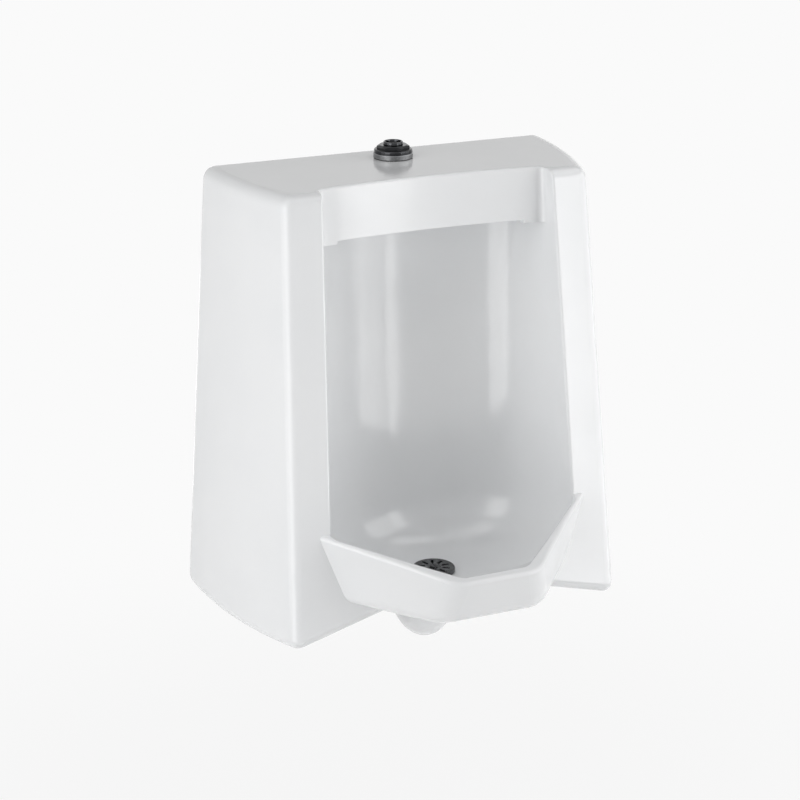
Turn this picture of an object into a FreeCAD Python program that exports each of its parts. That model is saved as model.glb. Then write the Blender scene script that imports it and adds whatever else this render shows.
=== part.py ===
import FreeCAD, Part
import math
import os

import Sketcher

# Wall-hung washdown urinal in vitreous china, with its inlet spud, bowl strainer,
# outlet flange and wall hangers. X runs to the right, -Y out from the wall, Z up.
# The origin is the centre of the hanger screw pattern on the finished wall.

doc = FreeCAD.newDocument("urinal")
sheet = doc.addObject("Spreadsheet::Sheet", "Dimensions")

SIZES = (
    ("deck_height", 124.0, "deck above the centre of the hanger screws"),
    ("wall", 12.0, "china wall thickness"),
    ("top_back_half", 222.9, "half width of the deck at the wall"),
    ("top_taper", 34.2, "deck narrower on each side at the front face"),
    ("top_depth", 187.8, "wall to front face at deck level"),
    ("base_drop", 532.0, "level of the lower outline below the deck"),
    ("base_back_half", 258.5, "half width at the wall, lower outline"),
    ("base_taper", 48.5, "lower outline narrower on each side at the front face"),
    ("base_depth", 251.0, "wall to front face, lower outline"),
    ("stock", 40.0, "outline stock cut away in front"),
    ("back_stock", 1.0, "outline stock cut away at the back"),
    ("crown_round", 16.0, "round between deck and side shields"),
    ("front_round", 14.0, "round along the edge of the front face"),
    ("arch_inset", 8.5, "underside's corner point inside the front half width"),
    ("arch_drop", 514.5, "level of that corner below the deck"),
    ("arch_angle", 14.4, "rise of the underside toward the middle, degrees"),
    ("arch_tilt", 2.6, "fall of the underside toward the front, degrees"),
    ("foot_round", 11.0, "round along the bottom edge of the shields"),
    ("heel_round", 14.0, "round of the bottom edge at the wall"),
    ("opening_top", 143.5, "half width between the shields at deck level"),
    ("opening_rim", 157.0, "half width between the shields at rim level"),
    ("opening_round", 3.0, "round of the shields' inner edges"),
    ("ceiling_drop", 62.4, "underside of the flush box below the deck"),
    ("ceiling_step", 4.0, "extra depth of the flush box at its ends"),
    ("ceiling_half", 118.5, "half width of the higher middle part"),
    ("bowl_back_top", 72.0, "wall to bowl back under the flush box"),
    ("bowl_back_rim", 86.0, "wall to bowl back at rim level"),
    ("bowl_power", 2.25, "fullness of the bowl in plan"),
    ("basin_power", 2.3, "fullness of the basin in section"),
    ("rim_drop", 395.0, "level where the basin starts to close"),
    ("floor_drop", 488.0, "basin floor below the deck"),
    ("floor_scale", 0.30, "size of the flat floor against the basin mouth"),
    ("drain_depth", 176.0, "wall to drain axis"),
    ("mouth_half", 42.0, "half width of the basin mouth at the lip"),
    ("mouth_reach", 96.0, "basin mouth in front of the lower outline"),
    ("mouth_round", 20.0, "corner round of the basin mouth"),
    ("mouth_root", 17.0, "bend of the basin mouth at the shields"),
    ("mouth_inset", 2.0, "start of that bend behind the front face"),
    ("front_margin", 1.5, "reach of the bowl cut in front of the front face"),
    ("lip_top_drop", 380.0, "upper outline of the lip below the deck"),
    ("lip_top_root", 177.0, "half width of the lip at the front face, upper outline"),
    ("lip_top_half", 40.0, "half width of the lip front, upper outline"),
    ("lip_top_reach", 22.0, "lip front in front of the basin mouth, upper outline"),
    ("lip_foot_drop", 476.0, "lower edge of the lip below the deck"),
    ("lip_foot_root", 142.0, "half width of the lip at the front face, lower edge"),
    ("lip_foot_half", 66.0, "half width of the lip front, lower edge"),
    ("lip_foot_inset", 4.0, "lip front behind the basin mouth, lower edge"),
    ("lip_round", 36.0, "corner round of the lip"),
    ("lip_root_inset", 46.0, "root of the lip behind the lower outline's front"),
    ("lip_under_drop", 502.0, "bottom of the basin under the lip"),
    ("lip_under_scale", 0.62, "size of that bottom against the lower edge"),
    ("lip_edge_round", 22.0, "round along the lower edge of the lip"),
    ("rim_angle", 14.8, "fall of the rim toward the front, degrees"),
    ("rim_inset", 17.0, "reference point of the rim behind the lower outline's front"),
    ("rim_level", 391.5, "that point below the deck"),
    ("rim_round", 4.2, "round of the rim's outer edge"),
    ("rim_inner_round", 3.0, "round of the rim's inner edge"),
    ("header_top_mid", 156.0, "wall to header face, top, middle"),
    ("header_top_end", 167.0, "wall to header face, top, ends"),
    ("header_foot_mid", 160.0, "wall to header face, foot, middle"),
    ("header_foot_end", 170.0, "wall to header face, foot, ends"),
    ("header_corner", 10.0, "round between header face and shields"),
    ("box_back", 6.0, "wall to the back of the flush box"),
    ("box_back_wall", 14.0, "back wall of the flush box"),
    ("channel_half", 128.0, "half width of the flush channel"),
    ("channel_front", 124.0, "wall to the front of the flush channel"),
    ("channel_floor", 10.0, "floor of the flush channel"),
    ("wash_radius", 3.0, "radius of a wash hole"),
    ("wash_count", 9, "wash holes in the row"),
    ("wash_pitch", 24.0, "distance between wash holes"),
    ("wash_depth", 96.0, "wall to the row of wash holes"),
    ("trap_radius", 25.0, "outside radius of the trap"),
    ("passage_radius", 17.0, "radius of the trap passage"),
    ("trap_bend", 44.0, "bend radius of the trap"),
    ("trap_drop", 562.0, "lowest point of the trap axis below the deck"),
    ("outlet_straight", 4.0, "straight end of the trap at the outlet"),
    ("outlet_drop", 474.0, "outlet axis below the deck"),
    ("outlet_face", 34.0, "wall to the china outlet face"),
    ("boss_radius", 37.0, "radius of the outlet boss"),
    ("boss_length", 30.0, "length of the outlet boss"),
    ("ear_thickness", 12.0, "thickness of the bolt ears"),
    ("ear_radius", 14.0, "end radius of the bolt ears and the flange"),
    ("bolt_half", 52.0, "flange bolt to outlet axis"),
    ("bolt_radius", 4.0, "radius of a flange bolt"),
    ("bolt_clearance", 1.0, "play of a flange bolt in its holes"),
    ("rail_inner", 76.0, "inner end of a hanger rail from the middle"),
    ("rail_outer", 148.0, "outer end of a hanger rail from the middle"),
    ("rail_drop", 94.0, "lower edge of the hanger rails below the deck"),
    ("hanger_half_pitch", 112.0, "hanger to the middle"),
    ("hanger_width", 56.0, "width of a hanger"),
    ("hanger_thickness", 4.0, "hanger plate thickness"),
    ("hanger_play", 2.0, "play between hanger and rail"),
    ("hanger_hook", 12.0, "height of the hook above its shelf"),
    ("hanger_top_drop", 80.0, "top of the hanger plate below the deck"),
    ("hanger_length", 70.0, "height of the hanger plate"),
    ("hanger_screw_pitch", 24.0, "distance between the screw holes of a hanger"),
    ("hanger_hole_radius", 3.5, "radius of a hanger screw hole"),
    ("hanger_bend", 3.0, "inside bend radius of a hanger"),
    ("hanger_corner", 6.0, "corner round of a hanger plate"),
    ("spud_depth", 54.0, "wall to the inlet axis"),
    ("spud_radius", 11.7, "outside radius of the spud"),
    ("spud_bore", 9.6, "radius of the spud bore"),
    ("spud_rise", 20.0, "top of the spud above the deck"),
    ("spud_hole", 13.5, "radius of the hole in the deck"),
    ("spud_head_radius", 13.2, "radius of the spud's inner head"),
    ("spud_head", 4.0, "thickness of the spud's inner head"),
    ("spud_tail", 4.0, "tail of the spud below its head"),
    ("seal_height", 8.0, "thickness of the rubber seal under the deck"),
    ("seal_radius", 18.6, "radius of that seal"),
    ("seal_round", 3.0, "round of that seal's lower edge"),
    ("pad_height", 1.2, "thickness of the rubber washer on the deck"),
    ("pad_radius", 23.2, "radius of that washer"),
    ("ring_height", 5.5, "height of the friction ring"),
    ("ring_radius", 23.6, "radius of the friction ring"),
    ("ring_round", 0.8, "round of the ring's upper edge"),
    ("nut_flange_height", 4.6, "height of the lock nut's flange"),
    ("nut_flange_radius", 23.0, "radius of the lock nut's flange"),
    ("nut_flange_round", 1.8, "round of the flange's upper edge"),
    ("nut_flats", 34.0, "lock nut across flats"),
    ("nut_hex_height", 4.8, "height of the hexagon above the flange"),
    ("nut_turn", -23.8, "direction that a flat faces at rest, degrees"),
    ("thread_clearance", 0.1, "play of a nut on its thread"),
    ("washer_clearance", 0.4, "play of a ring on the spud"),
    ("strainer_radius", 26.0, "radius of the strainer"),
    ("strainer_rise", 5.5, "top of the strainer above the floor"),
    ("strainer_plate", 2.2, "thickness of the strainer plate"),
    ("strainer_skirt", 2.0, "thickness of the strainer's skirt"),
    ("strainer_edge", 1.2, "round of the strainer's upper edge"),
    ("slot_count", 10, "slots in the strainer"),
    ("slot_inner", 10.5, "inner end of a slot from the axis"),
    ("slot_outer", 20.5, "outer end of a slot from the axis"),
    ("slot_width", 3.6, "width of a slot"),
    ("gasket_height", 1.2, "thickness of the strainer seal"),
    ("gasket_inner", 21.5, "inner radius of the strainer seal"),
    ("bar_ledge", 10.0, "china ledge over the strainer bar"),
    ("bar_groove", 24.0, "radius of the groove under the ledge"),
    ("bar_groove_height", 8.0, "height of that groove"),
    ("bar_half", 23.0, "half length of the strainer bar"),
    ("bar_width", 10.0, "width of the strainer bar"),
    ("bar_height", 5.0, "height of the strainer bar"),
    ("screw_radius", 2.5, "radius of the strainer screw"),
    ("screw_head_radius", 5.0, "radius of its head"),
    ("screw_head", 2.4, "height of its head"),
    ("screw_slot", 1.2, "width and depth of the driver slot"),
    ("screw_clearance", 0.4, "play of the screw in the strainer"),
    ("screw_tip", 2.0, "screw below the bar"),
    ("outlet_gasket", 6.0, "thickness of the outlet gasket"),
    ("outlet_gasket_radius", 33.0, "outside radius of the outlet gasket"),
    ("outlet_gasket_bore", 22.0, "inside radius of the outlet gasket"),
    ("flange_thickness", 8.0, "thickness of the outlet flange"),
    ("hub_radius", 37.0, "radius of the flange hub"),
    ("hub_length", 17.0, "length of the flange hub"),
    ("pipe_radius", 29.0, "thread radius of the flange hub"),
    ("pipe_stop", 4.0, "flange left in front of the pipe thread"),
    ("head_flats", 13.0, "bolt head and nut across flats"),
    ("head_height", 5.3, "height of a bolt head"),
    ("bolt_nut_height", 6.5, "height of a bolt nut"),
    ("bolt_washer", 1.6, "thickness of a bolt washer"),
    ("bolt_washer_radius", 8.0, "radius of a bolt washer"),
    ("bolt_tip", 4.0, "bolt beyond its nut"),
)

for row, (alias, value, note) in enumerate(SIZES, start=1):
    sheet.set("A%d" % row, note)
    sheet.set("B%d" % row, str(value))
    sheet.setAlias("B%d" % row, alias)
doc.recompute()


def size(alias):
    return float(getattr(sheet, alias))


def bind(item, **links):
    """Bind properties to the sheet; two underscores stand for a dot."""
    for prop, formula in links.items():
        item.setExpression(prop.replace("__", "."), formula)
    return item


def add(kind, name, **links):
    item = doc.addObject(kind, name)
    item.Label = name
    return bind(item, **links)


def at(item, x="0", y="0", z="0"):
    return bind(item, Placement__Base__x=x, Placement__Base__y=y, Placement__Base__z=z)


def along_y(item):
    """Turn a primitive so that its axis points at the wall."""
    item.Placement = FreeCAD.Placement(
        FreeCAD.Vector(), FreeCAD.Rotation(FreeCAD.Vector(1, 0, 0), -90))
    return item


def cut(name, base, tool):
    item = add("Part::Cut", name)
    item.Base = base
    item.Tool = tool
    return item


def fuse(name, shapes):
    item = add("Part::MultiFuse", name)
    item.Shapes = shapes
    return item


def rounded(name, base, groups):
    """Round edges of base; groups pairs a sheet name with a test on an edge."""
    doc.recompute()
    edges = []
    for alias, test in groups:
        for number, edge in enumerate(base.Shape.Edges, start=1):
            if test(edge):
                edges.append((number, size(alias), size(alias)))
    item = add("Part::Fillet", name)
    item.Base = base
    item.Edges = edges
    doc.recompute()
    return item


def middle(edge):
    return edge.valueAt((edge.FirstParameter + edge.LastParameter) / 2)


def near(a, b, gap=0.5):
    return abs(a - b) < gap


# Outer shape: two outlines joined by straight lines, with flat back and front faces.

def side_radius(level):
    taper = "Dimensions.%s_taper" % level
    return "(%s ^ 2 + Dimensions.%s_depth ^ 2) / (2 * %s)" % (taper, level, taper)


def outline(name, level, back, reach, radius, shift):
    """Plan outline: straight back and front, bowed sides that leave the wall squarely."""
    sketch = add("Sketcher::SketchObject", name)
    at(sketch, y=shift, z=level)
    half = float(sketch.evalExpression(back))
    depth = float(sketch.evalExpression(reach))
    bow = float(sketch.evalExpression(radius))
    centre = half - bow
    angle = math.asin(depth / bow)
    front = centre + bow * math.cos(angle)
    up = FreeCAD.Vector(0, 0, 1)
    right = Part.Circle(FreeCAD.Vector(centre, 0, 0), up, bow)
    left = Part.Circle(FreeCAD.Vector(-centre, 0, 0), up, bow)
    sketch.addGeometry(Part.LineSegment(FreeCAD.Vector(-half, 0, 0), FreeCAD.Vector(half, 0, 0)))
    sketch.addGeometry(Part.ArcOfCircle(right, -angle, 0))
    sketch.addGeometry(
        Part.LineSegment(FreeCAD.Vector(front, -depth, 0), FreeCAD.Vector(-front, -depth, 0)))
    sketch.addGeometry(Part.ArcOfCircle(left, math.pi, math.pi + angle))
    sketch.addConstraint([
        Sketcher.Constraint("Coincident", 0, 2, 1, 2),
        Sketcher.Constraint("Coincident", 1, 1, 2, 1),
        Sketcher.Constraint("Coincident", 2, 2, 3, 2),
        Sketcher.Constraint("Coincident", 3, 1, 0, 1),
        Sketcher.Constraint("PointOnObject", 0, 2, -1),
        Sketcher.Constraint("Symmetric", 0, 1, 0, 2, -2),
        Sketcher.Constraint("PointOnObject", 1, 3, -1),
        Sketcher.Constraint("PointOnObject", 3, 3, -1),
        Sketcher.Constraint("Symmetric", 2, 1, 2, 2, -2),
    ])
    bow_at = sketch.addConstraint(Sketcher.Constraint("Radius", 1, bow))
    half_at = sketch.addConstraint(Sketcher.Constraint("DistanceX", -1, 1, 0, 2, half))
    depth_at = sketch.addConstraint(Sketcher.Constraint("DistanceY", 2, 1, -1, 1, depth))
    sketch.setExpression("Constraints[%d]" % bow_at, radius)
    sketch.setExpression("Constraints[%d]" % half_at, back)
    sketch.setExpression("Constraints[%d]" % depth_at, reach)
    return sketch


def pin(sketch, number, point, spot, across, up):
    """Hold a sketch point at a pair of formulas."""
    for kind, axis, value, formula in (("DistanceX", -2, spot.x, across),
                                       ("DistanceY", -1, spot.y, up)):
        if formula == "0":
            sketch.addConstraint(Sketcher.Constraint("PointOnObject", number, point, axis))
        else:
            place = sketch.addConstraint(
                Sketcher.Constraint(kind, -1, 1, number, point, value))
            sketch.setExpression("Constraints[%d]" % place, formula)


def draw(sketch, vertices):
    """Closed outline whose vertices follow pairs of formulas."""
    points = []
    for across, up in vertices:
        points.append(FreeCAD.Vector(float(sketch.evalExpression(across)),
                                     float(sketch.evalExpression(up)), 0))
    count = len(points)
    for number in range(count):
        sketch.addGeometry(Part.LineSegment(points[number], points[(number + 1) % count]))
    for number in range(count):
        sketch.addConstraint(
            Sketcher.Constraint("Coincident", number, 2, (number + 1) % count, 1))
    for number, (across, up) in enumerate(vertices):
        pin(sketch, number, 1, points[number], across, up)


def polygon(name, turn, vertices):
    sketch = add("Sketcher::SketchObject", name)
    sketch.Placement = FreeCAD.Placement(FreeCAD.Vector(), turn)
    draw(sketch, vertices)
    return sketch


def extruded(name, sketch, length, direction, symmetric=False):
    item = add("Part::Extrusion", name, LengthFwd=length)
    item.Base = sketch
    item.DirMode = "Custom"
    item.Dir = FreeCAD.Vector(*direction)
    item.Solid = True
    item.Symmetric = symmetric
    return item


def loft(name, sections, ruled):
    item = add("Part::Loft", name)
    item.Sections = sections
    item.Solid = True
    item.Ruled = ruled
    return item


deck = "Dimensions.deck_height"
base = "Dimensions.deck_height - Dimensions.base_drop"
hull_stock = loft("hull_stock", [
    outline("hull_top", deck, "Dimensions.top_back_half",
            "Dimensions.top_depth + Dimensions.stock", side_radius("top"), "Dimensions.back_stock"),
    outline("hull_base", base, "Dimensions.base_back_half",
            "Dimensions.base_depth + Dimensions.stock", side_radius("base"), "Dimensions.back_stock"),
], True)
doc.recompute()
hull_crowned = rounded("hull_crowned", hull_stock, [
    ("crown_round", lambda edge: near(middle(edge).z, size("deck_height"))
     and abs(middle(edge).x) > size("top_back_half") / 2),
])

facing_x = FreeCAD.Rotation(FreeCAD.Vector(1, 1, 1), 120)
facing_y = FreeCAD.Rotation(FreeCAD.Vector(1, 0, 0), 90)
high = "Dimensions.deck_height + Dimensions.stock"
low = "Dimensions.deck_height - Dimensions.base_drop - Dimensions.stock"
lean = "(Dimensions.base_depth - Dimensions.top_depth) / Dimensions.base_drop"
face_high = "-Dimensions.top_depth + Dimensions.stock * " + lean
face_low = "-Dimensions.base_depth - Dimensions.stock * " + lean
front_side = extruded("front_side", polygon("front_side_profile", facing_x, [
    (face_high, high), (face_low, low),
    ("-2 * Dimensions.base_depth", low), ("-2 * Dimensions.base_depth", high)]),
    "4 * Dimensions.base_back_half", (1, 0, 0), True)
wall_side = extruded("wall_side", polygon("wall_side_profile", facing_x, [
    ("0", high), ("0", low), ("2 * Dimensions.stock", low), ("2 * Dimensions.stock", high)]),
    "4 * Dimensions.base_back_half", (1, 0, 0), True)
hull_flat = cut("hull_flat", cut("hull_back", hull_crowned, wall_side), front_side)
doc.recompute()


def on_front_face(spot):
    drop = size("deck_height") - spot.z
    reach = size("top_depth") + (size("base_depth") - size("top_depth")) * drop / size("base_drop")
    return near(spot.y, -reach, 0.05)


def borders_front(edge):
    return all(on_front_face(edge.valueAt(edge.FirstParameter + share * (
        edge.LastParameter - edge.FirstParameter))) for share in (0.0, 0.3, 0.5, 0.8, 1.0))


hull = rounded("hull", hull_flat, [
    ("front_round", lambda edge: borders_front(edge)
     and middle(edge).z > size("deck_height") - size("base_drop") + 1),
])

rise = "tan(Dimensions.arch_angle)"
arch_half = "(Dimensions.base_back_half - Dimensions.base_taper - Dimensions.arch_inset)"
arch_side = ("Dimensions.deck_height - Dimensions.arch_drop"
             " - (2 * Dimensions.base_back_half - " + arch_half + ") * " + rise)
arch_mid = "Dimensions.deck_height - Dimensions.arch_drop + " + arch_half + " * " + rise
arch = extruded("arch", polygon("arch_profile", facing_y, [
    ("-2 * Dimensions.base_back_half", arch_side), ("0", arch_mid),
    ("2 * Dimensions.base_back_half", arch_side),
    ("2 * Dimensions.base_back_half", "2 * (%s)" % base),
    ("-2 * Dimensions.base_back_half", "2 * (%s)" % base)]),
    "4 * Dimensions.base_depth", (0, 1, math.tan(math.radians(size("arch_tilt")))), True)
hull_arched = cut("hull_arched", hull, arch)
doc.recompute()


def arch_level(x, y):
    half = size("base_back_half") - size("base_taper") - size("arch_inset")
    return (size("deck_height") - size("arch_drop")
            + (half - abs(x)) * math.tan(math.radians(size("arch_angle")))
            + y * math.tan(math.radians(size("arch_tilt"))))


def borders_arch(edge):
    spots = [edge.valueAt(edge.FirstParameter + share * (edge.LastParameter - edge.FirstParameter))
             for share in (0.1, 0.5, 0.9)]
    return all(near(spot.z, arch_level(spot.x, spot.y), 0.1) for spot in spots) and abs(spots[1].x) > 1


hull_footed = rounded("hull_footed", hull_arched, [
    ("heel_round", lambda edge: borders_arch(edge) and near(middle(edge).y, 0)),
])
hull_trim = rounded("hull_trim", hull_footed, [
    ("foot_round", lambda edge: borders_arch(edge) and not near(middle(edge).y, 0)),
])

# Hollow back: the same outlines moved in by the wall thickness, open to the wall and below.


def inner(level, start):
    """Size of the inner outline at the underside of the deck."""
    return ("Dimensions.top_%s + (Dimensions.base_%s - Dimensions.top_%s) * Dimensions.wall"
            " / Dimensions.base_drop - %s" % (level, level, level, start))


hollow = loft("hollow", [
    outline("hollow_top", "Dimensions.deck_height - Dimensions.wall",
            inner("back_half", "Dimensions.wall"),
            inner("depth", "Dimensions.wall + Dimensions.back_stock"),
            side_radius("top"), "Dimensions.back_stock"),
    outline("hollow_base", base, "Dimensions.base_back_half - Dimensions.wall",
            "Dimensions.base_depth - Dimensions.wall + Dimensions.back_stock",
            side_radius("base"), "Dimensions.back_stock"),
], True)
shell = cut("shell", hull_trim, hollow)
doc.recompute()

# Bowl: plan sections from the flush box down to the basin floor. Each section has a curved
# back between the shields and a mouth with straight sides that runs out over the lip.

BASIN_SECTIONS = 8
CURVE_STEPS = 20


def front_reach(drop):
    share = drop / size("base_drop")
    return size("top_depth") + (size("base_depth") - size("top_depth")) * share


def mouth_depth():
    return size("base_depth") + size("mouth_reach")


def rim_depth():
    return size("base_depth") - size("rim_inset")


def opening_half(drop):
    share = drop / size("rim_drop")
    return size("opening_top") + (size("opening_rim") - size("opening_top")) * share


def bowl_wire(level, scale, drop, grow):
    """Section at a level: the shape at drop, grown by a wall, scaled about the drain axis."""
    z = size("deck_height") - level
    drain = -size("drain_depth")
    share = drop / size("rim_drop")
    back = -size("bowl_back_top") - (size("bowl_back_rim") - size("bowl_back_top")) * share
    back = back + grow
    half = opening_half(drop) + grow
    margin = size("front_margin") - (size("front_margin") + size("mouth_inset")) * share
    ends = -front_reach(drop) - margin
    bulge = 2 / size("bowl_power")

    def spot(x, y):
        return FreeCAD.Vector(x * scale, drain + (y - drain) * scale, z)

    curve = []
    for step in range(CURVE_STEPS + 1):
        angle = math.pi / 2 * (1 - math.cos(math.pi * step / CURVE_STEPS))
        across = math.copysign(abs(math.cos(angle)) ** bulge, math.cos(angle))
        along = math.sin(angle) ** bulge if 0 < step < CURVE_STEPS else 0.0
        curve.append(spot(half * across, ends + (back - ends) * along))
    spline = Part.BSplineCurve()
    spline.interpolate(curve)
    mouth = mouth_edges(half, ends, size("mouth_half") + grow / 2, -mouth_depth() - grow,
                        size("mouth_round") + grow, size("mouth_root") + grow, spot)
    return Part.Wire([spline.toShape()] + mouth)


def mouth_edges(half, ends, corner, front, radius, root, spot):
    """Left end of the curve to its right end: root bend, side, corner, front and back again."""
    centre = FreeCAD.Vector(half - root, ends, 0)
    goal = FreeCAD.Vector(corner, front, 0)
    reach = goal.sub(centre)
    bearing = math.atan2(reach.y, reach.x) + math.acos(root / reach.Length)
    leave = centre.add(FreeCAD.Vector(math.cos(bearing), math.sin(bearing), 0).multiply(root))
    bend = centre.add(FreeCAD.Vector(math.cos(bearing / 2), math.sin(bearing / 2), 0).multiply(root))
    side = leave.sub(goal).normalize()
    turn = math.acos(-side.x)
    setback = radius / math.tan(turn / 2)
    near_side = goal.add(FreeCAD.Vector(side).multiply(setback))
    near_front = FreeCAD.Vector(corner - setback, front, 0)
    bisector = FreeCAD.Vector(side.x - 1, side.y, 0).normalize()
    knee = goal.add(bisector.multiply(radius / math.sin(turn / 2) - radius))
    start = FreeCAD.Vector(half, ends, 0)

    def left(place):
        return spot(-place.x, place.y)

    def right(place):
        return spot(place.x, place.y)

    edges = [
        Part.makeLine(left(leave), left(near_side)),
        Part.Arc(left(near_side), left(knee), left(near_front)).toShape(),
        Part.makeLine(left(near_front), right(near_front)),
        Part.Arc(right(near_front), right(knee), right(near_side)).toShape(),
        Part.makeLine(right(near_side), right(leave)),
    ]
    if root > 0:
        edges.insert(0, Part.Arc(left(start), left(bend), left(leave)).toShape())
        edges.append(Part.Arc(right(leave), right(bend), right(start)).toShape())
    return edges


def sections_of(name, wires):
    sections = []
    for number, wire in enumerate(wires):
        section = add("Part::Feature", "%s_%d" % (name, number))
        section.Shape = wire
        sections.append(section)
    return sections


def bowl(name, grow):
    """Straight walls from above the deck to the rim level, then a basin closing on its floor."""
    rim = size("rim_drop")
    above = -size("crown_round")
    rim_wire = bowl_wire(rim, 1.0, rim, grow)
    walls = loft(name + "_walls", sections_of(
        name + "_wall_plan", [bowl_wire(above, 1.0, above, grow), rim_wire]), True)
    power = size("basin_power")
    least = size("floor_scale")
    plans = [rim_wire]
    for step in range(1, BASIN_SECTIONS):
        part = math.sin(math.pi / 2 * step / (BASIN_SECTIONS - 1))
        scale = least + (1 - least) * (1 - part ** power) ** (1 / power)
        level = rim + part * (size("floor_drop") + grow - rim)
        plans.append(bowl_wire(level, scale, rim, grow))
    basin = loft(name + "_basin", sections_of(name + "_basin_plan", plans), False)
    return fuse(name, [walls, basin])


bowl_cut = bowl("bowl_cut", 0.0)
bowl_outside = bowl("bowl_outside", size("wall"))
doc.recompute()
bowl_inside = add("Part::Common", "bowl_inside")
bowl_inside.Base = bowl_outside
bowl_inside.Tool = hull
doc.recompute()

# Rails that the wall hangers hook under.

rails = []
for name, start in (("rail_left", "-Dimensions.rail_outer"), ("rail_right", "Dimensions.rail_inner")):
    rail = add("Part::Box", name, Length="Dimensions.rail_outer - Dimensions.rail_inner",
               Width="Dimensions.box_back_wall", Height="Dimensions.rail_drop - Dimensions.ceiling_drop")
    at(rail, x=start, y="-Dimensions.box_back - Dimensions.box_back_wall",
       z="Dimensions.deck_height - Dimensions.rail_drop")
    rails.append(rail)

# Trap: one round tube from the drain down, back up and out at the wall.


def trap_path(start_above, end_past):
    """Axis of the trap, from above the floor to the outlet face."""
    bend = size("trap_bend")
    drain = -size("drain_depth")
    low = size("deck_height") - size("trap_drop")
    out = size("deck_height") - size("outlet_drop")
    back = -size("outlet_face") - size("outlet_straight") - drain - bend
    height = out - low - 2 * bend
    climb = math.atan2(height, back) + math.asin(2 * bend / math.hypot(height, back))
    rise = bend * (1 - math.cos(climb))
    run = bend * math.sin(climb)
    length = math.sqrt(height ** 2 + back ** 2 - 4 * bend ** 2)

    def spot(y, z):
        return FreeCAD.Vector(0, y, z)

    top = spot(drain, size("deck_height") - size("floor_drop") + start_above)
    knee = spot(drain, low + bend)
    turn = (math.pi / 2 + climb) / 2
    mid = spot(drain + bend - bend * math.cos(turn), low + bend - bend * math.sin(turn))
    foot = spot(drain + bend + run, low + rise)
    shoulder = spot(foot.y + length * math.cos(climb), foot.z + length * math.sin(climb))
    half = climb / 2
    crest = spot(shoulder.y + run, out)
    crown = spot(crest.y - bend * math.sin(half), out - bend * (1 - math.cos(half)))
    end = spot(-size("outlet_face") + end_past, out)
    edges = [Part.makeLine(top, knee), Part.Arc(knee, mid, foot).toShape(),
             Part.makeLine(foot, shoulder), Part.Arc(shoulder, crown, crest).toShape()]
    if end.y - crest.y > 0.01:
        edges.append(Part.makeLine(crest, end))
    return Part.Wire(edges), top


def tube(name, radius, start_above, end_past):
    path, top = trap_path(start_above, end_past)
    ring = Part.Wire(Part.makeCircle(size(radius), top, FreeCAD.Vector(0, 0, -1)))
    item = add("Part::Feature", name)
    item.Shape = path.makePipeShell([ring], True, False)
    return item


trap = tube("trap", "trap_radius", -size("wall") / 2, 0.0)
passage = tube("passage", "passage_radius", size("wall"), size("wall"))
doc.recompute()
boss = along_y(add("Part::Cylinder", "boss", Radius="Dimensions.boss_radius",
                   Height="Dimensions.boss_length"))
at(boss, y="-Dimensions.outlet_face - Dimensions.boss_length",
   z="Dimensions.deck_height - Dimensions.outlet_drop")
ear_web = add("Part::Box", "ear_web", Length="2 * Dimensions.bolt_half",
              Width="Dimensions.ear_thickness", Height="2 * Dimensions.ear_radius")
at(ear_web, x="-Dimensions.bolt_half", y="-Dimensions.outlet_face - Dimensions.ear_thickness",
   z="Dimensions.deck_height - Dimensions.outlet_drop - Dimensions.ear_radius")
ears = [boss, ear_web]
bolt_holes = []
for name, side in (("left", "-"), ("right", "")):
    ear = along_y(add("Part::Cylinder", "ear_" + name, Radius="Dimensions.ear_radius",
                      Height="Dimensions.ear_thickness"))
    at(ear, x=side + "Dimensions.bolt_half",
       y="-Dimensions.outlet_face - Dimensions.ear_thickness",
       z="Dimensions.deck_height - Dimensions.outlet_drop")
    ears.append(ear)
    hole = along_y(add("Part::Cylinder", "ear_hole_" + name,
                       Radius="Dimensions.bolt_radius + Dimensions.bolt_clearance",
                       Height="2 * Dimensions.ear_thickness"))
    at(hole, x=side + "Dimensions.bolt_half",
       y="-Dimensions.outlet_face - 1.5 * Dimensions.ear_thickness",
       z="Dimensions.deck_height - Dimensions.outlet_drop")
    bolt_holes.append(hole)


carved = cut("carved", fuse("walls", [shell, bowl_inside]), bowl_cut)
doc.recompute()

# Flush box: a block across the top of the bowl with a leaning, hollow front face.


def header_wire(drop):
    """Plan of the space in front of the header at a level."""
    z = size("deck_height") - drop
    share = drop / (size("ceiling_drop") + size("ceiling_step"))
    mid = -size("header_top_mid") - (size("header_foot_mid") - size("header_top_mid")) * share
    ends = -size("header_top_end") - (size("header_foot_end") - size("header_top_end")) * share
    half = opening_half(drop)
    front = -size("base_depth")
    bow = (half ** 2 + (mid - ends) ** 2) / (2 * (mid - ends))
    wide = half + size("wall")
    outer = mid - bow + math.sqrt(bow ** 2 - wide ** 2)
    arc = Part.Arc(FreeCAD.Vector(-wide, outer, z), FreeCAD.Vector(0, mid, z),
                   FreeCAD.Vector(wide, outer, z))
    corners = [FreeCAD.Vector(wide, outer, z), FreeCAD.Vector(wide, front, z),
               FreeCAD.Vector(-wide, front, z), FreeCAD.Vector(-wide, outer, z)]
    lines = [Part.makeLine(corners[number], corners[number + 1]) for number in range(3)]
    return Part.Wire([arc.toShape()] + lines)


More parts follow.
